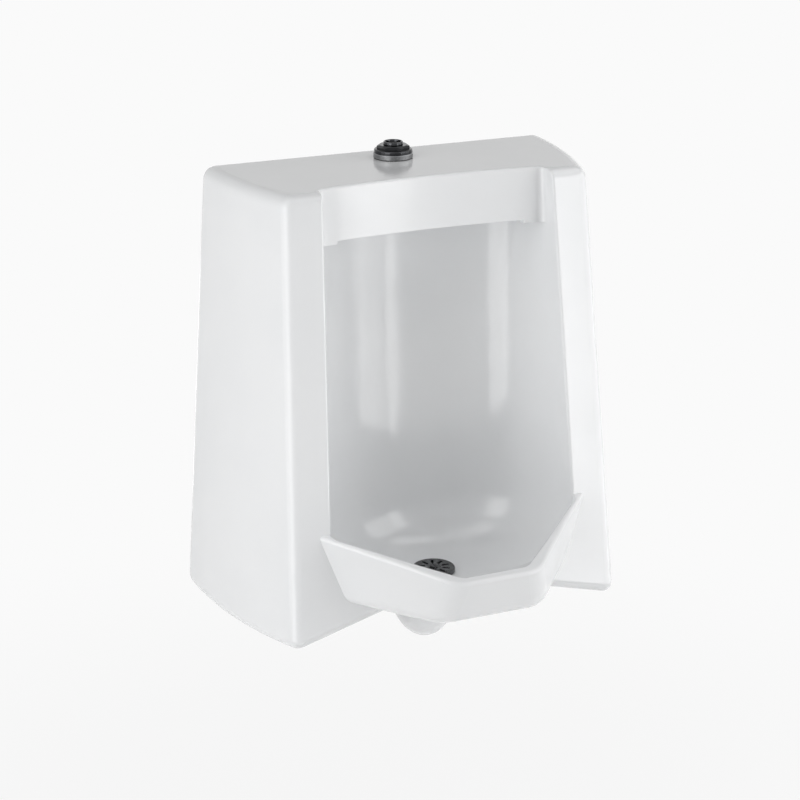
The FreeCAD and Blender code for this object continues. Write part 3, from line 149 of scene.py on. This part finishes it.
def pale_floor():
    """Floor like the backdrop, with a faint shadow near the object, and clear from below."""
    material, tree, shader = new_finish("pale_floor")
    shader.inputs["Base Color"].default_value = PALE_GREY
    shader.inputs["Roughness"].default_value = FLOOR_ROUGHNESS
    backdrop = tree.nodes.new("ShaderNodeEmission")
    backdrop.inputs["Color"].default_value = PALE_GREY
    away = tree.nodes.new("ShaderNodeVectorMath")
    away.operation = "LENGTH"
    tree.links.new(around(tree), away.inputs[0])
    plain = stretch(tree, away.outputs["Value"], low=0.5 * SHADOW_REACH, high=SHADOW_REACH,
                    bottom=1.0 - SHADOW_SHARE)
    glow = maths(tree, "MULTIPLY", seen_rays(tree), plain)
    above = mix_shaders(tree, glow, shader.outputs[0], backdrop.outputs[0])
    side = tree.nodes.new("ShaderNodeNewGeometry")
    clear = tree.nodes.new("ShaderNodeBsdfTransparent")
    surface = mix_shaders(tree, side.outputs["Backfacing"], above, clear.outputs[0])
    tree.links.new(surface, tree.nodes["Material Output"].inputs["Surface"])
    return material


def add_floor():
    """Floor as far down as under a hung fixture."""
    mesh = bpy.data.meshes.new("floor")
    shape = bmesh.new()
    bmesh.ops.create_grid(shape, x_segments=1, y_segments=1, size=FLOOR_HALF)
    bmesh.ops.translate(shape, verts=shape.verts, vec=(0.0, 0.0, cad_box[0].z - FLOOR_BELOW))
    shape.to_mesh(mesh)
    shape.free()
    floor = bpy.data.objects.new("floor", mesh)
    bpy.context.collection.objects.link(floor)
    mesh.materials.append(pale_floor())


# Node helpers

# Places of a Mix node's two sides and its result, for each kind of mix
MIX_VALUE = (2, 3, 0)
MIX_COLOUR = (6, 7, 2)


def feed(tree, socket, value):
    """Link a socket to another one, or set it to a number or a colour."""
    if isinstance(value, bpy.types.NodeSocket):
        tree.links.new(value, socket)
    elif isinstance(value, tuple):
        socket.default_value = (*value, 1.0)
    else:
        socket.default_value = value


def maths(tree, operation, first, second):
    """Socket of a Math node; each side is a socket or a number."""
    node = tree.nodes.new("ShaderNodeMath")
    node.operation = operation
    feed(tree, node.inputs[0], first)
    feed(tree, node.inputs[1], second)
    return node.outputs[0]


def stretch(tree, value, low, high, bottom=0.0, top=1.0):
    """Socket that carries value from low..high to bottom..top."""
    node = tree.nodes.new("ShaderNodeMapRange")
    node.interpolation_type = "SMOOTHSTEP"
    tree.links.new(value, node.inputs["Value"])
    node.inputs["From Min"].default_value = low
    node.inputs["From Max"].default_value = high
    node.inputs["To Min"].default_value = bottom
    node.inputs["To Max"].default_value = top
    return node.outputs["Result"]


def blend(tree, kind, places, share, first, second):
    """Socket of a Mix node; each side is a socket or a constant."""
    node = tree.nodes.new("ShaderNodeMix")
    node.data_type = kind
    low, high, result = places
    tree.links.new(share, node.inputs[0])
    feed(tree, node.inputs[low], first)
    feed(tree, node.inputs[high], second)
    return node.outputs[result]


def tint(tree, share, first, second):
    """Colour between two colours."""
    return blend(tree, "RGBA", MIX_COLOUR, share, first, second)


def blend_value(tree, share, first, second):
    """Value between two values."""
    return blend(tree, "FLOAT", MIX_VALUE, share, first, second)


def mix_shaders(tree, share, first, second):
    """Shader between two shaders."""
    node = tree.nodes.new("ShaderNodeMixShader")
    for socket, value in zip(node.inputs, (share, first, second)):
        tree.links.new(value, socket)
    return node.outputs[0]


def noise(tree, spot, scale, detail):
    """Noise at a place; scale is a socket or a number of cells a metre."""
    node = tree.nodes.new("ShaderNodeTexNoise")
    node.inputs["Detail"].default_value = detail
    tree.links.new(spot, node.inputs["Vector"])
    feed(tree, node.inputs["Scale"], scale)
    return node.outputs["Fac"]


def around(tree, centre=(0.0, 0.0, 0.0)):
    """Object coordinates measured from a centre."""
    place = tree.nodes.new("ShaderNodeTexCoord")
    shift = tree.nodes.new("ShaderNodeVectorMath")
    shift.operation = "SUBTRACT"
    shift.inputs[1].default_value = centre
    tree.links.new(place.outputs["Object"], shift.inputs[0])
    return shift.outputs[0]


def split(tree, vector):
    """The X, Y and Z of a vector socket."""
    node = tree.nodes.new("ShaderNodeSeparateXYZ")
    tree.links.new(vector, node.inputs[0])
    return node.outputs


def raise_surface(tree, shader, height, strength, distance):
    """Bump a finish by a height."""
    bump = tree.nodes.new("ShaderNodeBump")
    bump.inputs["Strength"].default_value = strength
    bump.inputs["Distance"].default_value = distance
    tree.links.new(height, bump.inputs["Height"])
    tree.links.new(bump.outputs["Normal"], shader.inputs["Normal"])


def new_finish(name):
    """Material with its node tree and its main shader."""
    material = bpy.data.materials.new(name)
    material.use_nodes = True
    tree = material.node_tree
    return material, tree, tree.nodes["Principled BSDF"]


# Effects that several finishes share

BLOTCH_SHARE = 0.12
SCUFF_TURNS = (0.4, 1.7)
SCUFF_TILT = 0.6
SCUFF_STRETCH = (1.0, 0.05, 1.0)


def new_effect(name, size, default, outputs):
    """Node group that takes a place and one size; returns it with its inputs and outputs."""
    group = bpy.data.node_groups.new(name, "ShaderNodeTree")
    sockets = group.interface
    sockets.new_socket("Place", in_out="INPUT", socket_type="NodeSocketVector")
    number = sockets.new_socket(size, in_out="INPUT", socket_type="NodeSocketFloat")
    number.default_value = default
    for label in outputs:
        sockets.new_socket(label, in_out="OUTPUT", socket_type="NodeSocketFloat")
    given = group.nodes.new("NodeGroupInput").outputs
    result = group.nodes.new("NodeGroupOutput").inputs
    return group, given, result


def make_grain():
    """Cast or moulded grain: blotches for the colour and a fine height."""
    group, given, result = new_effect("casting_grain", "Scale", 400.0, ("Blotch", "Height"))
    coarse = maths(group, "MULTIPLY", given["Scale"], BLOTCH_SHARE)
    blotch = noise(group, given["Place"], coarse, detail=3.0)
    group.links.new(stretch(group, blotch, low=0.35, high=0.65), result["Blotch"])
    fine = noise(group, given["Place"], given["Scale"], detail=5.0)
    group.links.new(fine, result["Height"])
    return group


def make_scuffs():
    """Sparse fine scratches, as from a wrench or a cloth."""
    group, given, result = new_effect("handling_scuffs", "Scale", 300.0, ("Mask",))
    lines = []
    for turn in SCUFF_TURNS:
        mapping = group.nodes.new("ShaderNodeMapping")
        mapping.inputs["Rotation"].default_value = (turn, SCUFF_TILT * turn, turn)
        mapping.inputs["Scale"].default_value = SCUFF_STRETCH
        group.links.new(given["Place"], mapping.inputs["Vector"])
        line = noise(group, mapping.outputs["Vector"], given["Scale"], detail=2.0)
        lines.append(stretch(group, line, low=0.62, high=0.70))
    group.links.new(maths(group, "MAXIMUM", *lines), result["Mask"])
    return group


def make_tool_rings():
    """Fine concentric marks of a lathe about the place's own Z axis."""
    group, given, result = new_effect("tool_rings", "Rings", 2500.0, ("Height",))
    parts = split(group, given["Place"])
    squares = [maths(group, "POWER", parts[axis], 2.0) for axis in ("X", "Y")]
    radius = maths(group, "SQRT", maths(group, "ADD", *squares), 0.0)
    along = group.nodes.new("ShaderNodeCombineXYZ")
    group.links.new(maths(group, "ADD", radius, parts["Z"]), along.inputs["X"])
    rings = noise(group, along.outputs[0], given["Rings"], detail=2.0)
    group.links.new(rings, result["Height"])
    return group


def effect(tree, group, spot, **values):
    """Outputs of a shared effect, placed with its own values."""
    node = tree.nodes.new("ShaderNodeGroup")
    node.node_tree = group
    tree.links.new(spot, node.inputs["Place"])
    for label, value in values.items():
        node.inputs[label].default_value = value
    return node.outputs


grain = make_grain()
scuffs = make_scuffs()
tool_rings = make_tool_rings()

# Finishes

CHINA_WHITE = (0.803, 0.810, 0.817)
CHINA_COOL = (0.785, 0.794, 0.803)
CHINA_IOR = 1.52
BISCUIT = (0.66, 0.62, 0.55)
BISCUIT_DARK = (0.56, 0.52, 0.45)
BISCUIT_ROUGHNESS = 0.85
BISCUIT_COARSE = 6.0
BARE_EDGE = 1.2 * MM

CHROME = (0.034, 0.035, 0.037)
CHROME_WORN = (0.050, 0.051, 0.054)
SATIN = (0.165, 0.168, 0.172)
SATIN_WORN = (0.215, 0.218, 0.222)
STEEL = (0.085, 0.087, 0.088)
STEEL_WORN = (0.130, 0.132, 0.134)
CUT_IRON = (0.36, 0.35, 0.34)
CUT_IRON_STAINED = (0.22, 0.21, 0.20)
BRASS = (0.62, 0.44, 0.18)
BRASS_STAINED = (0.42, 0.29, 0.12)
LATHE_RINGS = 2600.0

RUBBER_BLACK = (0.020, 0.020, 0.021)
RUBBER_BLOOM = (0.040, 0.039, 0.037)
PAINT_BLACK = (0.040, 0.041, 0.043)
PAINT_DULL = (0.064, 0.064, 0.065)
PAINT_THIN = (0.130, 0.122, 0.115)
PAINT_THIN_ROUGHNESS = 0.72
ZINC_DARK = (0.25, 0.265, 0.275)
ZINC_LIGHT = (0.36, 0.375, 0.385)
ZINC_SCUFFED = (0.42, 0.43, 0.44)
ZINC_CRYSTALS = 140.0


def glazed_china():
    """White vitreous glaze with a slow ripple, and bare biscuit where the body meets the wall."""
    material, tree, shader = new_finish("glazed_china")
    spot = around(tree)
    bare = stretch(tree, split(tree, spot)["Y"], low=-1.4 * BARE_EDGE, high=-0.6 * BARE_EDGE)
    pooled = stretch(tree, noise(tree, spot, scale=7.0, detail=2.0), low=0.35, high=0.65)
    clay = effect(tree, grain, spot, Scale=900.0)
    white = tint(tree, pooled, CHINA_WHITE, CHINA_COOL)
    biscuit = tint(tree, clay["Blotch"], BISCUIT, BISCUIT_DARK)
    tree.links.new(tint(tree, bare, white, biscuit), shader.inputs["Base Color"])
    sheen = stretch(tree, noise(tree, spot, scale=30.0, detail=3.0), low=0.3, high=0.7,
                    bottom=0.11, top=0.17)
    roughness = blend_value(tree, bare, sheen, BISCUIT_ROUGHNESS)
    tree.links.new(roughness, shader.inputs["Roughness"])
    ripple = noise(tree, spot, scale=26.0, detail=1.0)
    coarse = maths(tree, "MULTIPLY", clay["Height"], BISCUIT_COARSE)
    height = blend_value(tree, bare, ripple, coarse)
    raise_surface(tree, shader, height, strength=0.10, distance=0.4 * MM)
    shader.inputs["IOR"].default_value = CHINA_IOR
    return material


def metal(name, colour, worn, smooth, rough, centre, ring_depth=0.01):
    """Turned metal: its colour worn in scuffs, with faint lathe rings about its own axis."""
    material, tree, shader = new_finish(name)
    spot = around(tree, centre)
    marks = effect(tree, scuffs, spot, Scale=260.0)["Mask"]
    film = effect(tree, grain, spot, Scale=700.0)
    wear = maths(tree, "MAXIMUM", marks, film["Blotch"])
    tree.links.new(tint(tree, wear, colour, worn), shader.inputs["Base Color"])
    haze = maths(tree, "ADD", marks, film["Height"])
    roughness = stretch(tree, haze, low=0.3, high=1.2, bottom=smooth, top=rough)
    tree.links.new(roughness, shader.inputs["Roughness"])
    rows = effect(tree, tool_rings, spot, Rings=LATHE_RINGS)["Height"]
    raise_surface(tree, shader, rows, strength=0.4, distance=ring_depth * MM)
    shader.inputs["Metallic"].default_value = 1.0
    return material


def moulded_rubber():
    """Black rubber with a dull bloom and a pebbled mould face."""
    material, tree, shader = new_finish("moulded_rubber")
    skin = effect(tree, grain, around(tree), Scale=1500.0)
    colour = tint(tree, skin["Blotch"], RUBBER_BLACK, RUBBER_BLOOM)
    tree.links.new(colour, shader.inputs["Base Color"])
    roughness = stretch(tree, skin["Height"], low=0.3, high=0.7, bottom=0.55, top=0.75)
    tree.links.new(roughness, shader.inputs["Roughness"])
    raise_surface(tree, shader, skin["Height"], strength=0.5, distance=0.15 * MM)
    return material


def cast_iron():
    """Sand-cast iron under black paint, worn thin to grey in patches."""
    material, tree, shader = new_finish("cast_iron_black")
    spot = around(tree)
    skin = effect(tree, grain, spot, Scale=500.0)
    thin = stretch(tree, noise(tree, spot, scale=120.0, detail=4.0), low=0.58, high=0.74, top=0.6)
    paint = tint(tree, skin["Blotch"], PAINT_BLACK, PAINT_DULL)
    tree.links.new(tint(tree, thin, paint, PAINT_THIN), shader.inputs["Base Color"])
    sheen = stretch(tree, skin["Height"], low=0.3, high=0.7, bottom=0.40, top=0.58)
    roughness = blend_value(tree, thin, sheen, PAINT_THIN_ROUGHNESS)
    tree.links.new(roughness, shader.inputs["Roughness"])
    raise_surface(tree, shader, skin["Height"], strength=0.7, distance=0.35 * MM)
    return material


def zinc_coat():
    """Galvanised steel with its spangle of crystals."""
    material, tree, shader = new_finish("zinc_coat")
    spot = around(tree)
    crystals = tree.nodes.new("ShaderNodeTexVoronoi")
    crystals.inputs["Scale"].default_value = ZINC_CRYSTALS
    tree.links.new(spot, crystals.inputs["Vector"])
    facet = split(tree, crystals.outputs["Color"])
    marks = effect(tree, scuffs, spot, Scale=220.0)["Mask"]
    spangle = tint(tree, facet["X"], ZINC_DARK, ZINC_LIGHT)
    tree.links.new(tint(tree, marks, spangle, ZINC_SCUFFED), shader.inputs["Base Color"])
    roughness = stretch(tree, facet["Y"], low=0.0, high=1.0, bottom=0.30, top=0.48)
    tree.links.new(roughness, shader.inputs["Roughness"])
    raise_surface(tree, shader, crystals.outputs["Distance"], strength=0.2, distance=0.05 * MM)
    shader.inputs["Metallic"].default_value = 1.0
    return material


def middle_of(node):
    """Middle of a CAD node's box."""
    low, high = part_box(node)
    return (low + high) / 2


spud_axis = middle_of("spud_tube")
drain_axis = middle_of("strainer_plate")
outlet_axis = middle_of("outlet_gasket")

china = glazed_china()
dark_chrome = metal("dark_chrome", CHROME, CHROME_WORN,
                    smooth=0.03, rough=0.09, centre=spud_axis)
satin_grey = metal("satin_grey", SATIN, SATIN_WORN,
                   smooth=0.32, rough=0.48, centre=spud_axis, ring_depth=0.03)
drain_steel = metal("drain_steel", STEEL, STEEL_WORN,
                    smooth=0.26, rough=0.44, centre=drain_axis, ring_depth=0.03)
cut_iron = metal("cut_iron", CUT_IRON, CUT_IRON_STAINED,
                 smooth=0.28, rough=0.46, centre=outlet_axis)
raw_brass = metal("raw_brass", BRASS, BRASS_STAINED,
                  smooth=0.22, rough=0.45, centre=drain_axis)
rubber = moulded_rubber()
iron = cast_iron()
zinc = zinc_coat()

FINISHES = {
    "china_body": china,
    "spud_tube": dark_chrome,
    "spud_locknut": dark_chrome,
    "spud_ring": satin_grey,
    "spud_seal": rubber,
    "spud_pad": rubber,
    "strainer_seal": rubber,
    "outlet_gasket": rubber,
    "strainer_plate": drain_steel,
    "strainer_screw": drain_steel,
    "strainer_bar": raw_brass,
    "outlet_flange": iron,
    "flange_bolts": zinc,
    "flange_washers": zinc,
    "flange_nuts": zinc,
    "hanger_left": zinc,
    "hanger_right": zinc,
}


def dress(piece, material):
    """Give a piece one finish."""
    piece.data.materials.clear()
    piece.data.materials.append(material)


for name, material in FINISHES.items():
    dress(nodes[name], material)

# China casting, in mm: the round along the back of the deck runs across the flush channel's block

DECK = 124.0
DECK_ROUND = 11.0
BLOCK_BACK = 6.0
BLOCK_HALF = 149.5
BLOCK_LOW = 122.7
NEAR = 0.02
WELD = 0.001 * MM

# Upward share of a face's normal: on the deck, on the block's top, and at most on its sides
DECK_UPWARD = 0.999
TOP_UPWARD = 0.5
SIDE_UPWARD = 0.01


def on_block(corner):
    """True for a corner of the block that stands out of the round."""
    across, back, level = corner.co / MM
    return (abs(across) < BLOCK_HALF + NEAR and level > BLOCK_LOW
            and -DECK_ROUND - NEAR < back < NEAR - BLOCK_BACK)


def at_deck(corner):
    """True for a corner at the level of the deck."""
    return abs(corner.co.z / MM - DECK) < NEAR


def deck_top(shape):
    """Flat faces of the deck."""
    return [face for face in shape.faces
            if face.normal.z > DECK_UPWARD and all(at_deck(corner) for corner in face.verts)]


def cut_deck(shape, row):
    """Cut the deck across at one row of the block's corners."""
    top = deck_top(shape)
    edges = {edge for face in top for edge in face.edges}
    corners = {corner for face in top for corner in face.verts}
    bmesh.ops.bisect_plane(shape, geom=[*top, *edges, *corners], dist=WELD,
                           plane_co=(0.0, row * MM, 0.0), plane_no=(0.0, 1.0, 0.0))


def rounded_china():
    """The casting with its deck rounded right across the back, and its own smooth normals kept."""
    source = nodes["china_body"].data
    shape = bmesh.new()
    shape.from_mesh(source)
    lean = shape.loops.layers.float_vector.new("lean")
    for face, polygon in zip(shape.faces, source.polygons):
        for step, loop in enumerate(face.loops):
            loop[lean] = source.corner_normals[polygon.loop_start + step].vector
    bmesh.ops.remove_doubles(shape, verts=shape.verts, dist=WELD)
    rows = {round(corner.co.y / MM, 3) for corner in shape.verts if on_block(corner)}
    for row in sorted(rows)[:-1]:
        cut_deck(shape, row)
    sides = [face for face in shape.faces
             if abs(face.normal.z) < SIDE_UPWARD and all(on_block(corner) for corner in face.verts)]
    bmesh.ops.delete(shape, geom=sides, context="FACES")
    block = [corner for corner in shape.verts if on_block(corner)]
    for corner in block:
        inward = DECK_ROUND + corner.co.y / MM
        corner.co.z = (DECK - DECK_ROUND + sqrt(DECK_ROUND ** 2 - inward ** 2)) * MM
    bmesh.ops.remove_doubles(shape, verts=block, dist=NEAR * MM)
    for face in shape.faces:
        if face.normal.z > TOP_UPWARD and all(on_block(corner) for corner in face.verts):
            for loop in face.loops:
                slope = (DECK_ROUND + loop.vert.co.y / MM) / DECK_ROUND
                loop[lean] = (0.0, slope, sqrt(1.0 - slope ** 2))
    bmesh.ops.triangulate(shape, faces=shape.faces)
    mesh = bpy.data.meshes.new("china_casting")
    shape.to_mesh(mesh)
    shape.free()
    mesh.normals_split_custom_set([corner.vector for corner in mesh.attributes["lean"].data])
    mesh.attributes.remove(mesh.attributes["lean"])
    piece = bpy.data.objects.new("china_casting", mesh)
    bpy.context.collection.objects.link(piece)
    dress(piece, china)
    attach(piece, "fixture")
    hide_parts("china_body")


# Threaded pieces, in mm

UP = Vector((0.0, 0.0, 1.0))
TO_WALL = Vector((0.0, 1.0, 0.0))
TURN_STEPS = 36
SMOOTH_ANGLE = radians(32.0)

# Half widths of a thread's ridge in pitches, and how far its foot sinks into the core
FLANK = 0.44
CREST = 0.08
THREAD_SINK = 0.1

SPUD_PITCH = 1.814
SPUD_ROOT = 10.7
SPUD_CREST = 11.7
SPUD_BORE = 9.6
SPUD_HEAD = 13.2
SPUD_LEVELS = {
    "foot": 96.0, "head": 100.0, "neck": 104.0, "thread": 105.6, "collar": 140.3, "top": 144.0}
SPUD_TURNS = 18
COLLAR_CHAMFER = 0.3
MOUTH_ROUND = 0.9
INNER_ROUND = 0.5

BOLT_PITCH = 1.25
BOLT_ROOT = 3.4
BOLT_CREST = 4.0
BOLT_ACROSS_FLATS = 13.0
BOLT_LEVELS = {"crown": -51.3, "seat": -46.0, "neck": -33.0, "thread": -31.8, "tip": -7.9}
BOLT_TURNS = 18
BOLT_HALF = 52.0
BOLT_CHAMFER = 0.6
HEAD_CHAMFER = 0.8
HEAD_OVERLAP = 1.0

PIPE_PITCH = 2.209
PIPE_ROOT = 29.3
PIPE_CREST = 27.7
PIPE_START = -22.3
PIPE_TURNS = 8


def spot_of(centre, along, reach, level):
    """Point at a radius from an axis and a level along it."""
    return centre + Vector((reach * MM, 0.0, 0.0)) + along * (level * MM)


def arc(reach, level, size, first, last, steps):
    """Pairs of (radius, level) along an arc about a centre, with its ends in degrees."""
    turns = [radians(first + (last - first) * step / steps) for step in range(steps + 1)]
    return [(reach + size * cos(turn), level + size * sin(turn)) for turn in turns]


def lathe(shape, profile, centre, along, closed):
    """Turn a profile of (radius, level) pairs right round an axis."""
    corners = [shape.verts.new(spot_of(centre, along, *point)) for point in profile]
    pairs = list(zip(corners, corners[1:]))
    if closed:
        pairs.append((corners[-1], corners[0]))
    edges = [shape.edges.new(pair) for pair in pairs]
    bmesh.ops.spin(shape, geom=corners + edges, cent=centre, axis=along, angle=tau,
                   steps=2 * TURN_STEPS, use_merge=True)


def cut_thread(shape, root, crest, pitch, start, turns, centre, along):
    """Sweep the ridge of a thread up its helix, with both ends closed."""
    section = ((root, -FLANK), (crest, -CREST), (crest, CREST), (root, FLANK))
    corners = [shape.verts.new(spot_of(centre, along, reach, start + pitch * share))
               for reach, share in section]
    ridge = shape.faces.new(corners)
    bmesh.ops.duplicate(shape, geom=[ridge, *ridge.edges, *ridge.verts])
    bmesh.ops.spin(shape, geom=[ridge, *ridge.edges, *ridge.verts], cent=centre, axis=along,
                   dvec=along * (pitch * MM / TURN_STEPS), angle=tau * turns,
                   steps=TURN_STEPS * turns)


def hexagon_head(shape, across_flats, crown, seat, centre, along):
    """Six-sided bolt head with its crown chamfered."""
    corner = across_flats / 2 / cos(pi / 6)
    made = bmesh.ops.create_circle(shape, cap_ends=True, segments=6, radius=corner * MM)
    base = made["verts"]
    facing = Matrix.Rotation(-pi / 2, 3, "X") @ Matrix.Rotation(pi / 6, 3, "Z")
    bmesh.ops.rotate(shape, verts=base, matrix=facing)
    bmesh.ops.translate(shape, verts=base, vec=centre + along * (seat * MM))
    face = base[0].link_faces[0]
    raised = bmesh.ops.extrude_face_region(shape, geom=[face], use_keep_orig=True)["geom"]
    top = [item for item in raised if isinstance(item, bmesh.types.BMVert)]
    bmesh.ops.translate(shape, verts=top, vec=along * ((crown - seat) * MM))
    rim = [item for item in raised if isinstance(item, bmesh.types.BMEdge)]
    bmesh.ops.bevel(shape, geom=rim, offset=HEAD_CHAMFER * MM, affect="EDGES", segments=2,
                    profile=0.5, material=-1)


def add_piece(name, shape, material):
    """Close a shape into a named piece that rides on the fixture."""
    bmesh.ops.remove_doubles(shape, verts=shape.verts, dist=WELD)
    bmesh.ops.recalc_face_normals(shape, faces=shape.faces)
    mesh = bpy.data.meshes.new(name)
    shape.to_mesh(mesh)
    shape.free()
    mesh.shade_smooth()
    mesh.set_sharp_from_angle(angle=SMOOTH_ANGLE)
    piece = bpy.data.objects.new(name, mesh)
    bpy.context.collection.objects.link(piece)
    dress(piece, material)
    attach(piece, "fixture")
    return piece


def threaded_spud():
    """Inlet tube with its inner head, a full thread, and a plain collar with a rounded mouth."""
    centre = Vector((spud_axis.x, spud_axis.y, 0.0))
    at = SPUD_LEVELS
    shape = bmesh.new()
    lathe(shape, (
        (SPUD_BORE, at["foot"]), (SPUD_CREST, at["foot"]), (SPUD_CREST, at["head"]),
        (SPUD_HEAD, at["head"]), (SPUD_HEAD, at["neck"]), (SPUD_ROOT, at["neck"]),
        (SPUD_ROOT, at["collar"]), (SPUD_CREST - COLLAR_CHAMFER, at["collar"]),
        (SPUD_CREST, at["collar"] + COLLAR_CHAMFER),
        *arc(SPUD_CREST - MOUTH_ROUND, at["top"] - MOUTH_ROUND, MOUTH_ROUND, 0.0, 90.0, 3),
        *arc(SPUD_BORE + INNER_ROUND, at["top"] - INNER_ROUND, INNER_ROUND, 90.0, 180.0, 2),
    ), centre, UP, closed=True)
    cut_thread(shape, SPUD_ROOT - THREAD_SINK, SPUD_CREST, SPUD_PITCH, at["thread"], SPUD_TURNS,
               centre, UP)
    piece = add_piece("spud_tube_threaded", shape, dark_chrome)
    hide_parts("spud_tube")


def threaded_bolts():
    """The two flange bolts, each with a chamfered head and a thread that runs out at its tip."""
    at = BOLT_LEVELS
    shape = bmesh.new()
    for side in (-1.0, 1.0):
        centre = Vector((side * BOLT_HALF * MM, 0.0, outlet_axis.z))
        hexagon_head(shape, BOLT_ACROSS_FLATS, at["crown"], at["seat"], centre, TO_WALL)
        lathe(shape, (
            (0.0, at["seat"] - HEAD_OVERLAP), (BOLT_CREST, at["seat"] - HEAD_OVERLAP),
            (BOLT_CREST, at["neck"] - BOLT_CHAMFER), (BOLT_ROOT, at["neck"]),
            (BOLT_ROOT, at["tip"] - BOLT_CHAMFER), (BOLT_ROOT - BOLT_CHAMFER, at["tip"]),
            (0.0, at["tip"]),
        ), centre, TO_WALL, closed=False)
        cut_thread(shape, BOLT_ROOT - THREAD_SINK, BOLT_CREST, BOLT_PITCH, at["thread"], BOLT_TURNS,
                   centre, TO_WALL)
    piece = add_piece("flange_bolts_threaded", shape, zinc)
    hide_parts("flange_bolts")


def pipe_thread():
    """Thread that the drain pipe screws into, inside the hub of the outlet flange."""
    centre = Vector((0.0, 0.0, outlet_axis.z))
    shape = bmesh.new()
    cut_thread(shape, PIPE_ROOT, PIPE_CREST, PIPE_PITCH, PIPE_START, PIPE_TURNS, centre, TO_WALL)
    add_piece("outlet_pipe_thread", shape, cut_iron)


rounded_china()
threaded_spud()
threaded_bolts()
pipe_thread()

set_camera()
set_world()
for lamp in SOFTBOXES:
    softbox(*lamp)
add_floor()
